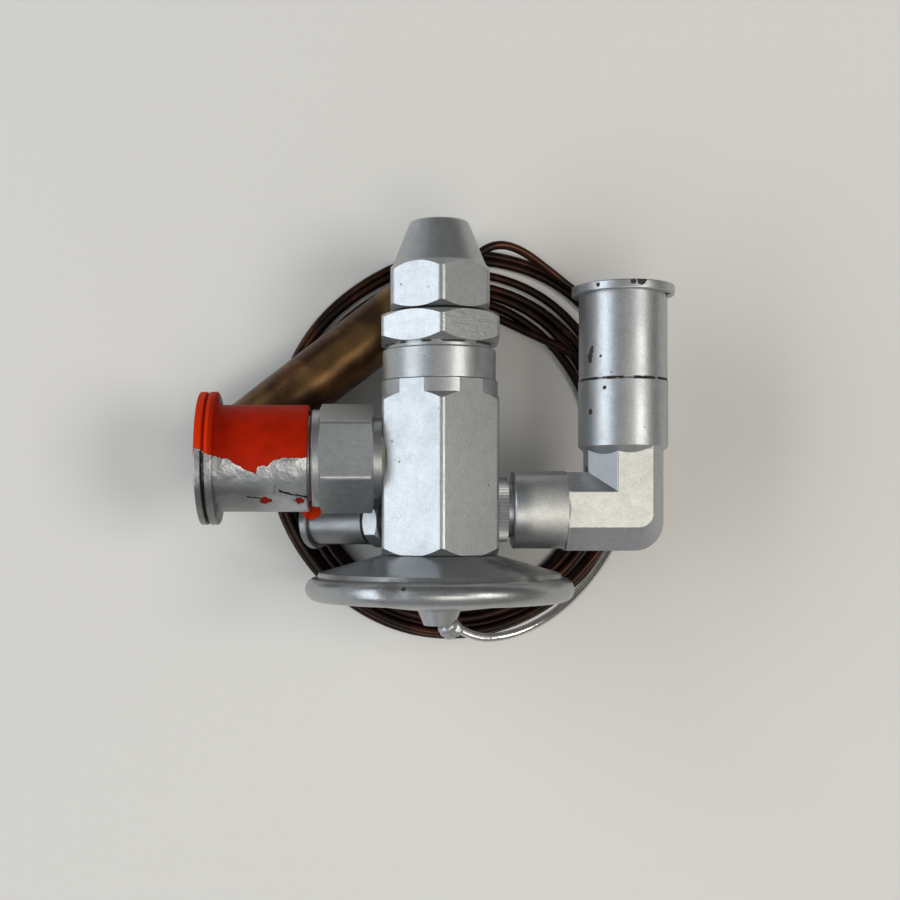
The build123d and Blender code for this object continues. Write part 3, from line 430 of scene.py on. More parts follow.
@dataclass(frozen=True)
class SilverPaint:
    """Sprayed aluminium paint with fine grain, small pits, stains, chips and cracks; on the elbow
    also a painted highlight and painted shade.
    """

    name: str
    color: Color = (0.45, 0.465, 0.475)
    under: Color = (0.05, 0.045, 0.04)
    cast_highlight: Color = (0.90, 0.89, 0.81)  # the forged top of the elbow, drawn lighter and warmer as a painted highlight
    bevel_shade: Color = (0.13, 0.135, 0.14)  # painted shade on the slope inside the elbow's bend
    brass: Color = (0.66, 0.46, 0.17)
    roughness: float = 0.37
    brass_roughness: float = 0.30
    metallic: float = 0.88
    specular: float = 0.15
    grain: float = 2100.0  # features per metre, as the two below
    pits: float = 260.0
    smudges: float = 70.0
    speckle: float = 0.16
    ripple: float = 0.0
    depth: float = 0.00012  # metres
    thread_depth: float = 4.5  # in depths
    chips: tuple[Chip, ...] = ()
    stains: tuple[Chip, ...] = ()
    seams: tuple[Seam, ...] = ()
    nose: BareNose | None = None
    # the rough forged skin on the elbow, whose up-facing colour is also a painted highlight
    cast_skin_and_highlight: bool = False

    def material(self) -> bpy.types.Material:
        """Builds the paint's material."""
        material, net, shader = new_material(self.name)
        grain = effect_value(net, Effect.GRAIN, self.grain, 1.0)
        pits = effect_value(net, Effect.SPOTS, self.pits, self.speckle)
        smudge = effect_value(net, Effect.SMUDGE, self.smudges, 0.5)
        tone = net.plus(1.0, net.times(grain, 0.9))
        tone = net.times(tone, net.minus(1.0, net.times(smudge, 0.10)))
        bare = self.bared(net, pits)
        color = net.mix(bare, net.tint(self.color, tone), self.under)
        rough = net.plus(self.roughness, net.times(smudge, 0.12))
        if self.cast_skin_and_highlight:
            forged = self.forged_skin_and_highlight(net)
            rough = net.plus(rough, net.times(forged, 0.20))
            # painted highlight: up-facing forged faces are lightened and warmed
            color = net.mix(net.times(forged, 0.70), color, net.tint(self.cast_highlight, tone))
            # painted shade: the slope inside the elbow's bend is darkened
            color = net.mix(self.inner_bevel_shade(net), color, self.bevel_shade)
        rough = net.plus(rough, net.times(bare, 0.2))
        metal = net.blend(bare, self.metallic, 0.1)
        height = net.minus(net.times(grain, 0.45), net.times(bare, 0.9))
        if self.nose:
            brass, thread = self.nose.masks(net)
            # painted shade: the thread's valleys are drawn darker than its crests
            turned = net.tint(self.brass, net.plus(0.4, net.times(thread, 0.6)))
            color = net.mix(brass, color, turned)
            rough = net.blend(brass, rough, self.brass_roughness)
            metal = net.blend(brass, metal, 1.0)
            height = net.plus(height, net.times(thread, self.thread_depth))
        if self.ripple:
            stretched = net.add("ShaderNodeMapping", Vector=net.object_point())
            stretched.inputs["Scale"].default_value = (0.35, 1.6, 1.0)
            waves = net.noise(620.0, 4.0, stretched.outputs[0], 0.6)
            height = net.plus(height, net.times(waves, self.ripple))
        net.set(shader, Base_Color=color, Roughness=rough, Metallic=metal,
                Specular_IOR_Level=self.specular)
        bump(net, shader, height, self.depth)
        return material

    def bared(self, net: Net, pits: Socket) -> Socket:
        """Gives the mask of pits, chips, cracks and stains, and of dark seam lines that at the
        housing's joints are painted crevice shade.

        Args:
            net: The material's net.
            pits: The mask of the small pits.

        Returns:
            The mask, 1 where the paint is gone.
        """
        bare = net.times(pits, 0.45)
        for chip in self.chips:
            bare = net.most(bare, net.near(chip.at, chip.radius, 0.5))
        for seam in self.seams:
            # dark seam lines: cracked paint, and painted crevice shade at the housing's joints
            bare = net.most(bare, self.crack_and_shade_line(net, seam))
        for stain in self.stains:
            spread = net.near(stain.at, stain.radius, 0.6, 0.5)
            bare = net.most(bare, net.times(spread, 0.75))
        return bare

    def forged_skin_and_highlight(self, net: Net) -> Socket:
        """Gives the mask of the elbow's up-facing forged top, weaker on the top of the round neck
        beside it; it roughens these faces and lightens and warms their colour as a painted
        highlight.
        """
        x = net.axes()[0]
        right, low = self.elbow_block(net)
        up = net.facing()[2]
        neck = net.times(net.ramp(x, (AXIS.x + 21.0) * MM, (AXIS.x + 25.0) * MM),
                         net.times(net.ramp(up, 0.55, 1.0), 0.75))
        flat = net.blend(right, neck, net.ramp(up, 0.985, 0.998))
        return net.times(low, flat)

    def inner_bevel_shade(self, net: Net) -> Socket:
        """Gives the mask of the slope on the inside of the elbow's bend, which is darkened as
        painted shade.
        """
        left, _, up = net.facing()
        facing = net.times(net.ramp(left, -0.60, -0.66), net.ramp(up, 0.60, 0.66))
        return net.times(net.times(*self.elbow_block(net)), facing)

    def elbow_block(self, net: Net) -> tuple[Socket, Socket]:
        """Gives two masks that meet on the elbow's block: right of its neck, below its leg."""
        x, y = net.axes()[:2]
        return (net.math("GREATER_THAN", x, (AXIS.x + ELBOW_BLOCK_OFFSET) * MM),
                net.math("LESS_THAN", y, (AXIS.y + ELBOW_BLOCK_END) * MM))

    def crack_and_shade_line(self, net: Net, seam: Seam) -> Socket:
        """Gives the mask of a broken dark line around a joint."""
        y = net.axes()[1]
        off = net.size(net.minus(y, (AXIS.y + seam.station) * MM))
        line = net.ramp(off, seam.half * MM, 0.6 * seam.half * MM)
        broken = net.ramp(net.noise(260.0, 3.0), 0.44, 0.50)
        return net.times(line, broken)


@dataclass(frozen=True)
class Plastic:
    """Moulded plastic with a slight mottle."""

    name: str
    color: Color
    roughness: float = 0.42

    def material(self) -> bpy.types.Material:
        """Builds the plastic's material."""
        material, net, shader = new_material(self.name)
        grain = effect_value(net, Effect.GRAIN, 1500.0, 1.0)
        color = net.mix(net.ramp(grain, -0.3, 0.3), shaded(self.color, 0.82), self.color)
        net.set(shader, Base_Color=color, Roughness=self.roughness,
                Specular_IOR_Level=PLASTIC_SPECULAR)
        bump(net, shader, grain, 0.00006)
        return material


@dataclass(frozen=True)
class PeeledCapPaint:
    """Orange plastic whose silver paint has peeled off on one side.

    Millimetres: out along the cap from the stem axis, to the side from the cap's own axis
    towards the seal cap, and above that axis.
    """

    name: str
    plastic: Color
    flange_highlight: Color
    paint: SilverPaint
    edge: tuple[tuple[float, float], ...]  # out and side where the paint ends
    cracks: tuple[tuple[float, float, float, float], ...]  # out and side of both ends
    torn: Color = (0.72, 0.68, 0.66)
    # darkens cracks and dirt, and also the painted shade in the groove and along one side
    dirt: Color = (0.030, 0.018, 0.014)
    half_span: float = 10.0  # widest side that the edge's curve can hold
    roughness: float = 0.5
    depth: float = 0.00016  # metres

    def material(self) -> bpy.types.Material:
        """Builds the material; the paint ends where a ragged line along the cap says."""
        material, net, shader = new_material(self.name)
        x, y, z = net.axes()
        out = net.times(net.minus(AXIS.x * MM, x), 1 / MM)
        side = net.times(net.minus(y, (AXIS.y + OUTLET_STATION) * MM), 1 / MM)
        above = net.times(net.minus(z, AXIS.z * MM), 1 / MM)
        on_face = net.ramp(out, CAP_FACE - 0.1, CAP_FACE + 0.1)
        ragged = net.plus(net.wander(900.0, 4.0, 1.6),
                          net.wander(110.0, 4.0, net.times(on_face, 22.0)))
        over = net.plus(net.minus(side, self.edge_line(net, out)), ragged)
        horizon = net.ramp(net.plus(above, net.times(ragged, 1.4)), 0.9, 1.1)
        holes = net.most(net.near(from_axis(-44.6, 13.9, 8.4), 0.0014, 0.9),
                         net.near(from_axis(-36.0, 13.9, 8.4), 0.0012, 0.9))
        peeled = net.most(net.times(net.ramp(over, -0.06, 0.06), horizon), holes)
        flecks = effect_value(net, Effect.SPOTS, 620.0, 0.13)
        peeled = net.times(peeled, net.minus(1.0, flecks))
        bore = self.bore(net, out, side, above)
        peeled = net.most(peeled, bore)
        grain = effect_value(net, Effect.GRAIN, 3800.0, 1.0)
        skin = net.tint(self.paint.color, net.plus(1.0, net.times(grain, 0.28)))
        skin = net.mix(self.worn(net, out, side), skin, self.dirt)
        torn = net.ramp(net.size(net.plus(over, 0.12)), 0.20, 0.06)
        torn = net.times(net.times(torn, horizon), 0.8)
        torn = net.times(torn, net.minus(1.0, bore))
        color = net.mix(torn, net.mix(peeled, skin, self.mottled(net, out, holes)), self.torn)
        net.set(shader, Base_Color=color,
                Metallic=net.blend(peeled, self.paint.metallic, 0.0),
                Roughness=net.blend(peeled, self.paint.roughness, self.roughness),
                Specular_IOR_Level=PLASTIC_SPECULAR)
        height = net.plus(net.times(net.noise(150.0, 4.0, rough=0.5), 6.0), 2.2)
        bump(net, shader, net.times(height, net.minus(1.0, peeled)), self.depth)
        return material

    def edge_line(self, net: Net, out: Socket) -> Socket:
        """Gives the side at which the paint ends, from how far out a point lies."""
        border = net.add("ShaderNodeFloatCurve")
        curve = border.mapping.curves[0]
        low, high = self.edge[0][0], self.edge[-1][0]
        span = 2 * self.half_span
        for index, (along, side) in enumerate(self.edge):
            spot = ((along - low) / (high - low), (side + self.half_span) / span)
            if index in (0, len(self.edge) - 1):
                point = curve.points[0 if index == 0 else -1]
                point.location = spot
            else:
                point = curve.points.new(*spot)
            point.handle_type = "VECTOR"
        border.mapping.update()
        net.feed(net.math("DIVIDE", net.minus(out, low), high - low), border.inputs["Value"])
        return net.minus(net.times(border.outputs[0], span), self.half_span)

    def bore(self, net: Net, out: Socket, side: Socket, above: Socket) -> Socket:
        """Gives the mask of the cap's inside, which the paint never reached."""
        from_line = net.math("SQRT", net.plus(net.times(side, side), net.times(above, above)))
        return net.times(net.ramp(from_line, CAP_BORE_R + 0.1, CAP_BORE_R),
                         net.ramp(out, CAP_BORE_END + 0.1, CAP_BORE_END))

    def mottled(self, net: Net, out: Socket, holes: Socket) -> Socket:
        """Gives the plastic's colour: barrel, a brighter rim drawn as a painted highlight, and
        darker small holes.
        """
        barrel = net.mix(net.ramp(net.noise(160.0, 2.0), 0.35, 0.7), self.plastic,
                         shaded(self.plastic, 0.80))
        on_barrel = net.ramp(out, CAP_FLANGE_START + 0.1, CAP_FLANGE_START - 0.1)
        # painted highlight: the rim gets the brighter orange
        color = net.mix(on_barrel, self.flange_highlight, barrel)
        return net.mix(holes, color, shaded(self.plastic, 0.45))

    def worn(self, net: Net, out: Socket, side: Socket) -> Socket:
        """Gives the mask of the cracks and dirt in the paint that is left, with a dark line in the
        groove and a darker band along one side, both painted shade.
        """
        wander = net.wander(420.0, 4.0, 3.0)
        mouth = net.ramp(net.plus(out, net.times(wander, 0.35)),
                         OUTLET_COLLAR_END + 0.5, OUTLET_COLLAR_END + 0.2)
        cracks = net.times(mouth, net.ramp(net.noise(300.0, 3.0), 0.40, 0.46))
        for start, start_side, end, end_side in self.cracks:
            line = net.times(net.minus(out, start), (end_side - start_side) / (end - start))
            off = net.minus(net.minus(side, start_side), line)
            off = net.size(net.plus(off, net.times(wander, 0.5)))
            within = net.times(net.ramp(out, start, start + 0.3), net.ramp(out, end, end - 0.3))
            cracks = net.most(cracks, net.times(net.ramp(off, 0.34, 0.16), within))
        # painted shade: a dark line in the groove between the rims
        groove = net.ramp(net.size(net.minus(out, CAP_GROOVE)), 0.75, 0.45)
        cracks = net.most(cracks, net.times(groove, 0.9))
        # painted shade: a darker band along the cap's side away from the seal cap
        shade = net.times(net.ramp(side, -5.0, -9.5), net.ramp(out, 41.5, 48.0))
        dirt = net.times(net.ramp(net.noise(110.0, 4.0), 0.40, 0.72), 0.35)
        return net.most(cracks, net.most(dirt, net.times(shade, 0.55)))


@dataclass(frozen=True)
class OldCopper:
    """Oxidised copper, dark brown with warmer worn places."""

    name: str
    dark: Color = (0.016, 0.008, 0.006)
    warm: Color = (0.085, 0.029, 0.014)
    gold: Color = (0.30, 0.17, 0.055)
    roughness: float = 0.36
    metallic: float = 0.75
    golden: float = 0.0
    patches: float = 60.0
    painted_from: float = 0.0  # metres above the table, 0 for none
    paint: Color = (0.66, 0.655, 0.64)
    paint_roughness: float = 0.13

    def material(self) -> bpy.types.Material:
        """Builds the copper's material, painted above a height if painted_from is set."""
        material, net, shader = new_material(self.name)
        cloud = net.noise(self.patches, 4.0, rough=0.6)
        color = net.mix(net.ramp(cloud, 0.47, 0.76), self.dark, self.warm)
        if self.golden:
            patch = net.ramp(net.noise(55.0, 2.0), 0.46, 0.70)
            color = net.mix(net.times(patch, self.golden), color, self.gold)
        streak = net.noise(1400.0, 3.0)
        color = net.tint(color, net.plus(0.75, net.times(streak, 0.5)))
        metal, rough = self.metallic, self.roughness
        if self.painted_from:
            _, y, z = net.axes()
            height = net.plus(z, net.wander(500.0, 3.0, 0.004))
            painted = net.ramp(height, self.painted_from - 0.0006, self.painted_from + 0.0006)
            painted = net.times(painted, net.math("LESS_THAN", y, 0.0))
            color = net.mix(painted, color, self.paint)
            metal = net.blend(painted, metal, 1.0)
            rough = net.blend(painted, rough, self.paint_roughness)
        net.set(shader, Base_Color=color, Metallic=metal, Roughness=rough)
        bump(net, shader, streak, 0.00005)
        return material


@dataclass(frozen=True)
class TurnedMetal:
    """Bare machined brass or steel."""

    name: str
    color: Color
    roughness: float = 0.28

    def material(self) -> bpy.types.Material:
        """Builds the metal's material."""
        material, net, shader = new_material(self.name)
        grain = effect_value(net, Effect.GRAIN, 3000.0, 1.0)
        color = net.mix(net.ramp(grain, -0.35, 0.35), shaded(self.color, 0.8), self.color)
        net.set(shader, Base_Color=color, Metallic=1.0, Roughness=self.roughness)
        bump(net, shader, grain, 0.00003)
        return material


SILVER = SilverPaint("silver paint")
ELBOW_SILVER = SilverPaint(
    "elbow silver paint",
    chips=spots(
        (41.6, 42.6, 9.65, 0.5),
        (38.5, 36.7, 6.6, 0.7),
        (38.3, 21.8, 1.2, 1.3),
    ),
    seams=(Seam(ELBOW_UPRIGHT_END),),
    nose=BareNose(ELBOW_UPRIGHT_END + 0.5, ELBOW_THREAD, ELBOW_LEG),
    cast_skin_and_highlight=True,
)
ROUGH_SILVER = SilverPaint("rippled silver paint", color=(0.48, 0.495, 0.505), ripple=0.8)
HEAD_SILVER = SilverPaint(
    "power head paint",
    color=(0.39, 0.40, 0.405),
    roughness=0.29,
    chips=spots((-9.9, -7.4, 33.1, 0.6)),
    stains=spots(
        (16.2, -2.6, 17.3, 4.2),
        (13.4, -1.7, 15.4, 3.0),
        (19.3, -3.6, 18.9, 3.2),
        (21.8, -5.3, 23.0, 2.2),
        (-13.0, -7.6, 32.0, 3.0),
    ),
)
CAP_SILVER = SilverPaint(
    "silver paint over plastic",
    chips=spots(
        (38.9, 53.0, 6.7, 0.6),
        (38.7, 52.1, 6.5, 0.8),
        (38.4, 51.0, 6.2, 1.0),
        (38.4, 49.9, 6.2, 0.8),
        (40.6, 50.7, 8.9, 0.4),
        (48.3, 69.0, 13.3, 0.7),
        (50.4, 69.4, 13.0, 1.2),
        (58.4, 67.6, 4.5, 1.2),
        (40.0, 68.6, 10.2, 0.6),
    ),
    seams=(Seam(ELBOW_UPRIGHT_END),),
    roughness=0.36,
)
SHADED_EQUALIZER_CAP_SILVER = SilverPaint(
    "equalizer cap paint darkened as shade",
    # painted shade: the whole cap's paint is drawn darker for the shadow it lies in
    color=(0.24, 0.245, 0.25),
    under=LIT_ORANGE,
    chips=spots((-33.5, 11.5, -13.5, 3.0), (-34.0, 14.0, -17.0, 2.0)),
)
HOUSING_SILVER = SilverPaint(
    "housing paint",
    # painted shade: the dark lines at the lock nut's foot and the body joint stand for crevice
    # shade, drawn as cracked paint
    seams=(Seam(HOUSING_END, 0.35), Seam(BODY_END, 0.2)),
    nose=BareNose(GASKET_END, HOUSING_THREAD),
)
OUTLET_SILVER = SilverPaint(
    "outlet paint",
    nose=BareNose(OUTLET_COLLAR_END + 0.8, OUTLET_THREAD, OUTLET_STATION, across=True),
)
PEELED_CAP = PeeledCapPaint(
    "peeled cap paint",
    plastic=ORANGE,
    flange_highlight=LIT_ORANGE,
    paint=CAP_SILVER,
    edge=(
        (33.0, -0.4),
        (40.0, -0.6),
        (42.2, -1.2),
        (43.6, -2.6),
        (46.2, -2.6),
        (46.6, -4.6),
        (49.2, -3.5),
        (51.6, -2.1),
        (53.6, -0.8),
        (58.7, 0.3),
        (60.4, 1.6),
        (63.0, 1.8),
    ),
    cracks=(
        (33.8, -10.4, 41.2, -8.6),
        (42.8, -11.2, 49.6, -10.0),
        (41.6, -6.4, 42.6, -10.6),
    ),
)
FINISHES = {
    "silver_paint": SILVER,
    "orange_plastic": Plastic("orange plastic", ORANGE),
    "painted_plastic": CAP_SILVER,
    "copper": OldCopper("old copper"),
    "brass": TurnedMetal("brass", (0.72, 0.50, 0.20)),
    "steel": TurnedMetal("steel", (0.52, 0.53, 0.54)),
    "seal": Plastic("black seal", (0.03, 0.03, 0.03), 0.6),
    "fibre": Plastic("fibre", (0.30, 0.28, 0.24), 0.7),
}
NODE_FINISHES = {
    "inlet_elbow": ELBOW_SILVER,
    "lock_nut": ROUGH_SILVER,
    "equalizer_dust_cap": SHADED_EQUALIZER_CAP_SILVER,
    "adjuster_housing": HOUSING_SILVER,
    "outlet_adapter": OUTLET_SILVER,
    # painted shade: the gasket is drawn near black for the crevice below the seal cap
    "seal_cap_gasket": Plastic("gasket darkened as crevice shade", (0.03, 0.026, 0.022), 0.6),
    "head_base_cup": HEAD_SILVER,
    "head_cover_cup": HEAD_SILVER,
    "outlet_dust_cap": PEELED_CAP,
}
BULB_COPPER = OldCopper(
    "bulb copper",
    dark=(0.06, 0.028, 0.012),
    warm=(0.22, 0.10, 0.04),
    roughness=0.34,
    golden=0.6,
    patches=70.0,
)
TUBE_COPPER = OldCopper("capillary copper", painted_from=0.0066)


@dataclass
class FinishBook:
    """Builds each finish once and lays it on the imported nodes."""

    made: dict[str, bpy.types.Material] = field(default_factory=dict)

    def get(self, finish: object) -> bpy.types.Material:
        """Gives a finish's material, built on first use."""
        if finish.name not in self.made:
            self.made[finish.name] = finish.material()
        return self.made[finish.name]

    def dress_nodes(self, frame: dict) -> None:
        """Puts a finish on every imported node.
        """
        slots = {s["node"]: s["material_slot"] for s in frame["record"]["subparts"]}
        for name, node in frame["nodes"].items():
            finish = NODE_FINISHES.get(name, FINISHES[slots[name]])
            node.data.materials.clear()
            node.data.materials.append(self.get(finish))
            LOG.info("finished node %s with %s", name, finish.name)


# ---- modelling helpers -------------------------------------------------------------


def deselect() -> None:
    """Leaves object mode with nothing selected."""
    if bpy.context.object and bpy.context.object.mode != "OBJECT":
        bpy.ops.object.mode_set(mode="OBJECT")
    bpy.ops.object.select_all(action="DESELECT")


def finished(piece: bpy.types.Object, name: str, body: str,
             material: bpy.types.Material) -> bpy.types.Object:
    """Names a piece, moves its place into its mesh and lets it ride on a body.

    Args:
        piece: The modelled object.
        name: Its name.
        body: The body that carries it.
        material: Its finish.

    Returns:
        The piece.
    """
    deselect()
    piece.select_set(True)
    bpy.context.view_layer.objects.active = piece
    bpy.ops.object.transform_apply(location=True, rotation=True, scale=True)
    piece.name = name
    piece.data.name = name
    piece.data.materials.clear()
    piece.data.materials.append(material)
    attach(piece, body)
    LOG.info("built %s on %s", name, body)
    return piece


def pick_faces(piece: bpy.types.Object, chosen: object) -> None:
    """Selects, in edit mode, the faces whose centre and normal pass a test.

    Args:
        piece: The object in edit mode.
        chosen: A function of a face's centre and normal.
    """
    bpy.ops.mesh.select_mode(type="FACE")
    bpy.ops.mesh.select_all(action="DESELECT")
    bpy.ops.object.mode_set(mode="OBJECT")
    for face in piece.data.polygons:
        face.select = bool(chosen(face.center, face.normal))
    bpy.ops.object.mode_set(mode="EDIT")


# ---- sub-assemblies ----------------------------------------------------------------


@dataclass
class CapillaryTube:
    """The copper capillary: painted lead, seven loose turns and the tail into the bulb."""

    radius: float = 1.2
    lead: tuple[Point, ...] = (
        (0.0, -16.0, 35.0),
        (7.8, -22.2, 34.9),
        (18.8, -21.7, 33.0),
        (29.9, -17.0, 28.5),
        (38.8, -10.2, 22.3),
        (46.1, -2.3, 15.8),
        (52.0, 6.7, 9.5),
        (56.0, 14.8, 5.2),
        (57.7, 20.5, 3.6),
    )
    tail: tuple[Point, ...] = (
        (40.2, 74.1, 1.9),
        (33.0, 79.5, 4.0),
        (23.7, 85.3, 8.5),
        (16.1, 86.2, 10.95),
        (9.5, 81.2, 10.95),
        (4.3, 77.2, 10.95),
    )
    centre: tuple[float, float] = (5.5, 31.7)
    turns: int = 7
    start_angle: float = -4.0
    end_angle: float = 41.0
    steps: int = 18
    # angle, innermost radius, outermost radius
    fan: tuple[Point, ...] = (
        (0.0, 38.0, 56.4),
        (35.0, 36.4, 58.0),
        (60.0, 36.8, 57.9),
        (90.0, 38.2, 55.4),
        (120.0, 37.0, 53.0),
        (160.0, 37.2, 52.6),
        (190.0, 38.4, 54.4),
        (212.0, 44.5, 54.6),
        (245.0, 46.6, 56.2),
        (270.0, 47.0, 57.4),
        (295.0, 45.4, 55.6),
        (325.0, 43.0, 53.6),
        (348.0, 38.6, 55.6),
        (360.0, 38.0, 56.4),
    )
    # degrees between which every second turn climbs onto the others and comes down again
    stacked: tuple[float, float, float, float] = (196.0, 208.0, 332.0, 344.0)
    stack_lift: float = 2.1
    # share of the way from the innermost to the outermost radius at the start of each turn
    gathers: tuple[float, ...] = (0.0, 0.14, 0.27, 0.40, 0.53, 0.80, 0.90, 1.0, 1.12)
    waver: float = 0.28
    # the first strand comes in over the others: radius, height, degrees, share at which it drops
    entry_radius: float = 54.9
    entry_height: float = 3.6
    entry_span: float = 62.0
    entry_end: float = 70.0
    entry_drop: float = 0.82
    length: float = 2.28  # metres

    def reach(self, angle: float) -> tuple[float, float]:
        """Gives the inner and outer radius of the turns at an angle.

        Args:
            angle: Degrees within one turn.

        Returns:
            The two radii in millimetres.
        """
        for low, high in zip(self.fan, self.fan[1:]):
            if low[0] <= angle <= high[0]:
                share = (angle - low[0]) / (high[0] - low[0])
                share = share * share * (3 - 2 * share)
                return tuple(a + (b - a) * share for a, b in zip(low[1:], high[1:]))
        return self.fan[0][1:]

    def stack(self, angle: float) -> float:
        """Gives how far the strands of every second turn stand on the others, 0 to 1."""
        rise, full, fall, flat = self.stacked
        if angle < full:
            return min(1.0, max(0.0, (angle - rise) / (full - rise)))
        return min(1.0, max(0.0, (flat - angle) / (flat - fall)))

    def coil_points(self) -> list[Vector]:
        """Gives the turns' control points, from the lead's end to the tail's start."""
        points = []
        last = self.turns * 360.0 + self.end_angle
        count = round((last - self.start_angle) / 360.0 * self.steps)
        for step in range(count + 1):
            total = self.start_angle + (last - self.start_angle) * step / count
            turn = max(0.0, total / 360.0)
            angle = total % 360.0
            inner, outer = self.reach(angle)
            whole = int(turn)
            first, second = self.gathers[whole:whole + 2]
            radius = inner + (outer - inner) * (first + (second - first) * (turn - whole))
            radius += self.waver * math.sin(math.radians(3 * angle + 140 * whole))
            height = self.radius + self.stack_lift * self.stack(angle) * (whole % 2)
            if total < self.entry_end:
                radius, height = self.entry(total, radius, height)
            spot = math.radians(angle)
            points.append(place(self.centre[0] + radius * math.cos(spot),
                                self.centre[1] + radius * math.sin(spot), height))
        return points

    def entry(self, total: float, radius: float, height: float) -> tuple[float, float]:
        """Brings the first strand from the lead's end over the others to the inside.

        Args:
            total: Degrees from the coil's start.
            radius: Where the strand would lie.
            height: How high it would lie.

        Returns:
            The radius and height that it takes.
        """
        share = max(0.0, min(1.0, (total - self.start_angle) / self.entry_span))
        smooth = share * share * (3 - 2 * share)
        dropped = max(0.0, (share - self.entry_drop) / (1 - self.entry_drop))
        lifted = self.entry_height - (self.entry_height - height) * dropped
        return self.entry_radius + (radius - self.entry_radius) * smooth, lifted

    def build(self, book: FinishBook, bulb: bpy.types.Object) -> bpy.types.Object:
        """Args:
            book: The finishes.
            bulb: The bulb on its far end; not used.

        Returns:
            The curve object.
        """
        deselect()
        route = [place(*spot) for spot in self.lead] + self.coil_points()
        route += [place(*spot) for spot in self.tail]
        data = bpy.data.curves.new("capillary_tube", "CURVE")
        data.dimensions = "3D"
        data.bevel_depth = self.radius * MM
        data.bevel_resolution = 5
        data.use_fill_caps = True
        data.resolution_u = 7
        spline = data.splines.new("NURBS")
        spline.points.add(len(route) - 1)
        for point, spot in zip(spline.points, route):
            point.co = (*spot, 1.0)
        spline.order_u = 3
        spline.use_endpoint_u = True
        tube = bpy.data.objects.new("capillary_tube", data)
        bpy.context.scene.collection.objects.link(tube)
        data.materials.append(book.get(TUBE_COPPER))
        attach(tube, "valve")
        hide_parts("capillary_lead", "capillary_coil", "capillary_tail")
        LOG.info("built capillary_tube with %d control points", len(route))
        return tube


@dataclass
class SensingBulb:
    """The copper bulb at the capillary's far end, swaged to a neck."""

    end: Point = (4.3, 77.2, 10.95)
    heading: float = 37.5
    radius: float = 8.5
    length: float = 75.0
    neck_radius: float = 2.6
    neck: float = 4.0
    # steps of each end: size of the next ring as a share of the last, and how far out it lies
    swaged_end: tuple[tuple[float, float], ...] = (
        (0.94, 0.5), (0.80, 0.5), (0.56, 0.3), (0.72, -0.5))
    blind_end: tuple[tuple[float, float], ...] = (
        (0.97, 0.25), (0.90, 0.25), (0.75, 0.15), (0.55, -0.7), (0.4, -0.1))

    def build(self, book: FinishBook) -> bpy.types.Object:
        """Builds the bulb from a cylinder with a swaged and a blind end.

        Args:
            book: The finishes.

        Returns:
            The bulb.
        """
        deselect()
        heading = math.radians(self.heading)
        along = Vector((math.cos(heading), math.sin(heading), 0.0))
        tube = self.length - self.neck
        middle = place(*self.end) - along * (self.neck + tube / 2) * MM
        bpy.ops.mesh.primitive_cylinder_add(
            vertices=72, radius=self.radius * MM, depth=tube * MM, end_fill_type="NGON",
            location=middle, rotation=Euler((math.pi / 2, 0.0, heading + math.pi / 2)))
        bulb = bpy.context.object
        deselect()
        bulb.select_set(True)
        bpy.context.view_layer.objects.active = bulb
        bpy.ops.object.transform_apply(location=True, rotation=True, scale=True)
        bpy.ops.object.mode_set(mode="EDIT")
        self.shape_end(bulb, along, self.swaged_end)
        self.step_to(bulb, along, self.neck_radius, self.neck)
        self.shape_end(bulb, -along, self.blind_end)
        bpy.ops.object.mode_set(mode="OBJECT")
        bpy.ops.object.shade_smooth_by_angle(angle=math.radians(40))
        finished(bulb, "sensing_bulb_shell", "valve", book.get(BULB_COPPER))
        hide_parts("sensing_bulb")
        return bulb

    def shape_end(self, bulb: bpy.types.Object, outward: Vector,
                  steps: tuple[tuple[float, float], ...]) -> None:
        """Draws an end face out in steps and leaves the last one picked.

        Args:
            bulb: The bulb in edit mode.
            outward: The direction that the end faces.
            steps: Each step's shrink and its length in millimetres.
        """
        pick_faces(bulb, lambda centre, normal: normal.dot(outward) > 0.9)
        for shrink, forward in steps:
            move = {"value": outward * forward * MM}
            bpy.ops.mesh.extrude_region_move(TRANSFORM_OT_translate=move)
            bpy.ops.transform.resize(value=(shrink,) * 3)

    def step_to(self, bulb: bpy.types.Object, along: Vector, radius: float, length: float) -> None:
        """Insets the picked end face to a radius and draws it out as the neck.

        Args:
            bulb: The bulb in edit mode with its end face picked.
            along: The bulb's direction.
            radius: The neck's radius in millimetres.
            length: How far the neck stands out in millimetres.
        """
        bpy.ops.mesh.extrude_region_move(TRANSFORM_OT_translate={"value": (0.0, 0.0, 0.0)})
        bpy.ops.object.mode_set(mode="OBJECT")
        face = next(f for f in bulb.data.polygons if f.select)
        reach = max((bulb.data.vertices[v].co - face.center).length for v in face.vertices)
        bpy.ops.object.mode_set(mode="EDIT")
        bpy.ops.transform.resize(value=(radius * MM / reach,) * 3)
        bpy.ops.mesh.extrude_region_move(TRANSFORM_OT_translate={"value": along * length * MM})


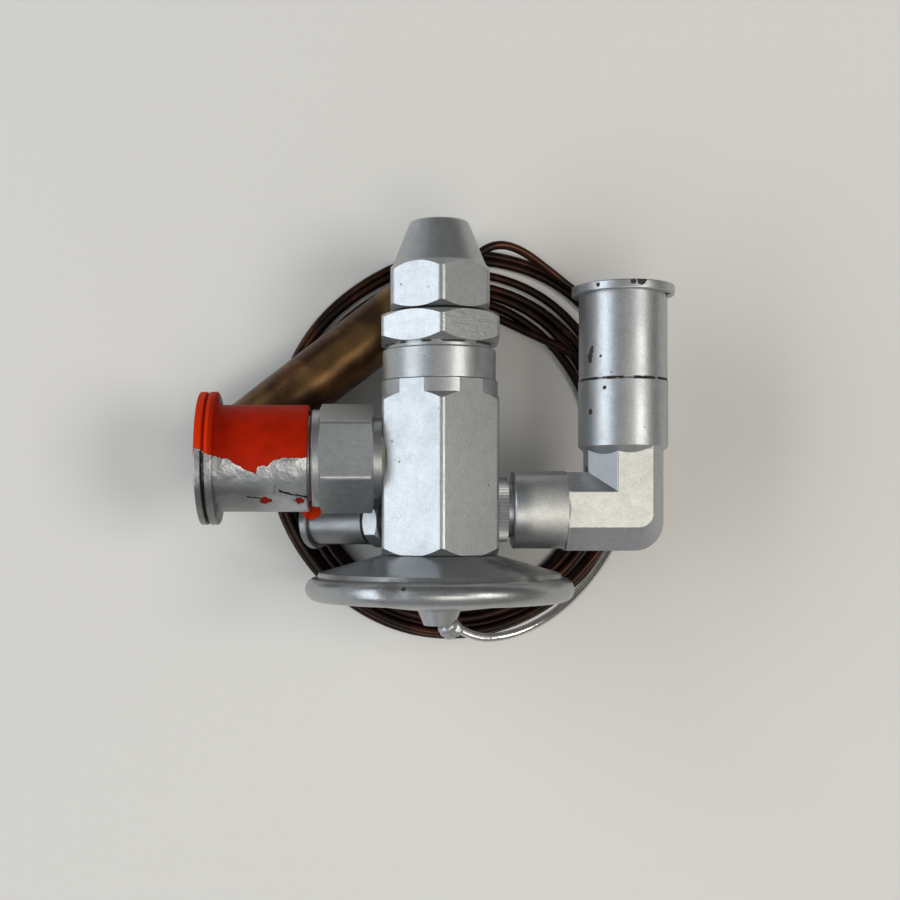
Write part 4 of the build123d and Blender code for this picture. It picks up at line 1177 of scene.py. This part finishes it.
@dataclass
class BrazeJoint:
    """The painted lump of braze that holds the capillary in its boss."""

    at: Point = (2.9, -19.6, 35.0)
    radius: float = 2.75
    stretch: Point = (1.15, 0.9, 1.0)
    lump_size: float = 0.0028  # metres, as the next
    lump_height: float = 0.0016

    def build(self, book: FinishBook) -> bpy.types.Object:
        """Builds the lump from a sphere pulled along the tube and roughened.

        Args:
            book: The finishes.

        Returns:
            The lump.
        """
        deselect()
        bpy.ops.mesh.primitive_uv_sphere_add(segments=40, ring_count=24, radius=self.radius * MM,
                                             location=place(*self.at))
        lump = bpy.context.object
        bpy.ops.object.mode_set(mode="EDIT")
        bpy.ops.mesh.select_all(action="SELECT")
        bpy.ops.transform.resize(value=self.stretch)
        bpy.ops.object.mode_set(mode="OBJECT")
        cloud = bpy.data.textures.new("braze_lumps", "CLOUDS")
        cloud.noise_scale = self.lump_size
        push = lump.modifiers.new("lumps", "DISPLACE")
        push.texture = cloud
        push.texture_coords = "LOCAL"
        push.strength = self.lump_height
        push.mid_level = 0.5
        bpy.ops.object.modifier_apply(modifier="lumps")
        bpy.ops.object.shade_smooth()
        finished(lump, "braze_lump", "valve", book.get(SILVER))
        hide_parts("braze_fillet")
        return lump


# ---- studio ------------------------------------------------------------------------


@dataclass(frozen=True)
class Lamp:
    """A soft lamp aimed at the valve: place and size in metres, power in watts."""

    name: str
    spot: Point
    size: tuple[float, float]
    power: float
    color: Color

    def hang(self) -> None:
        """Adds the lamp, turned towards the scene's origin."""
        data = bpy.data.lights.new(self.name, "AREA")
        data.shape = "RECTANGLE"
        data.size, data.size_y = self.size
        data.energy = self.power
        data.color = self.color
        lamp = bpy.data.objects.new(self.name, data)
        spot = Vector(self.spot)
        turn = spot.to_track_quat("Z", "Y").to_matrix().to_4x4()
        lamp.matrix_world = Matrix.Translation(spot) @ turn
        bpy.context.scene.collection.objects.link(lamp)


@dataclass
class Studio:
    """Camera, floor and soft light."""

    image: int = 900
    focal_pixels: float = 1340.0
    sensor: float = 36.0
    above_axis: float = 350.0
    aside: tuple[float, float] = (-18.0, -18.0)
    target: tuple[float, float] = (3.2, -6.8)
    table: Color = (0.80, 0.785, 0.75)
    # the world's level: everywhere, then what the right, the back and the top add, and least
    ambient: float = 0.16
    slopes: Point = (-0.03, -0.12, 0.11)
    least: float = 0.08
    cool: Color = (0.93, 0.975, 1.06)
    warm: Color = (1.03, 0.99, 0.93)
    backdrop: Color = (0.62, 0.61, 0.59)
    lamps: tuple[Lamp, ...] = (
        Lamp("window", (-1.76, 0.04, 1.16), (2.90, 1.12), 27.6, (0.87, 0.94, 1.0)),
        Lamp("room lamp", (1.24, -0.08, 1.64), (0.84, 0.64), 12.0, (1.0, 0.965, 0.90)),
        Lamp("ceiling", (0.28, -0.68, 1.96), (0.90, 0.90), 6.8, (1.0, 0.94, 0.84)),
    )

    def build(self) -> None:
        """Sets up the view, the table and the light."""
        self.camera()
        self.floor()
        self.light()
        bpy.context.scene.view_settings.view_transform = "Standard"

    def camera(self) -> None:
        """Adds the camera above the valve, looking straight down past its middle."""
        data = bpy.data.cameras.new("view")
        data.sensor_width = self.sensor
        data.lens = self.focal_pixels / self.image * self.sensor
        data.clip_start = 0.01
        reach = self.focal_pixels / self.above_axis / self.image
        data.shift_x, data.shift_y = (-side * reach for side in self.aside)
        camera = bpy.data.objects.new("view", data)
        target = Vector((*self.target, AXIS.z)) * MM
        camera.location = target + Vector((*self.aside, self.above_axis)) * MM
        bpy.context.scene.collection.objects.link(camera)
        bpy.context.scene.camera = camera
        LOG.info("placed the camera")

    def floor(self) -> None:
        """Adds the pale table."""
        deselect()
        bpy.ops.mesh.primitive_plane_add(size=8.0, location=(0.0, 0.0, 0.0))
        table = bpy.context.object
        table.name = "table"
        material, net, shader = new_material("table")
        cloud = net.noise(3.0, 2.0)
        net.set(shader, Base_Color=net.mix(cloud, shaded(self.table, 0.97), self.table),
                Roughness=0.55, Specular_IOR_Level=0.2)
        table.data.materials.append(material)

    def light(self) -> None:
        """Lights the scene with a soft world, a window, a room lamp and a ceiling lamp."""
        world = bpy.data.worlds.new("room")
        bpy.context.scene.world = world
        world.use_nodes = True
        net = Net(world.node_tree)
        way = net.add("ShaderNodeTexCoord").outputs["Generated"]
        x, y, z = net.add("ShaderNodeSeparateXYZ", Vector=way).outputs
        right, back, top = self.slopes
        level = net.plus(self.ambient, net.times(net.most(z, 0.0), top))
        level = net.plus(level, net.times(x, right))
        level = net.plus(level, net.times(y, back))
        tint = net.mix(net.ramp(x, -0.7, 0.7), self.cool, self.warm)
        seen = net.add("ShaderNodeLightPath").outputs["Is Camera Ray"]
        light = net.add("ShaderNodeBackground", Color=tint, Strength=net.most(level, self.least))
        plain = net.add("ShaderNodeBackground", Color=self.backdrop, Strength=1.0)
        both = net.add("ShaderNodeMixShader")
        for value, socket in zip((seen, light.outputs[0], plain.outputs[0]), both.inputs):
            net.feed(value, socket)
        net.add("ShaderNodeOutputWorld", Surface=both.outputs[0])
        for lamp in self.lamps:
            lamp.hang()
        LOG.info("lit the studio")


def main(frame: dict) -> None:
    """Builds and dresses everything in order.
    """
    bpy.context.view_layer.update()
    Studio().build()
    book = FinishBook()
    book.dress_nodes(frame)
    bulb = SensingBulb().build(book)
    CapillaryTube().build(book, bulb)
    BrazeJoint().build(book)
    deselect()


if __name__ == "__main__":
    logging.basicConfig(level=logging.INFO, format="%(message)s")
    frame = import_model()
    main(frame)
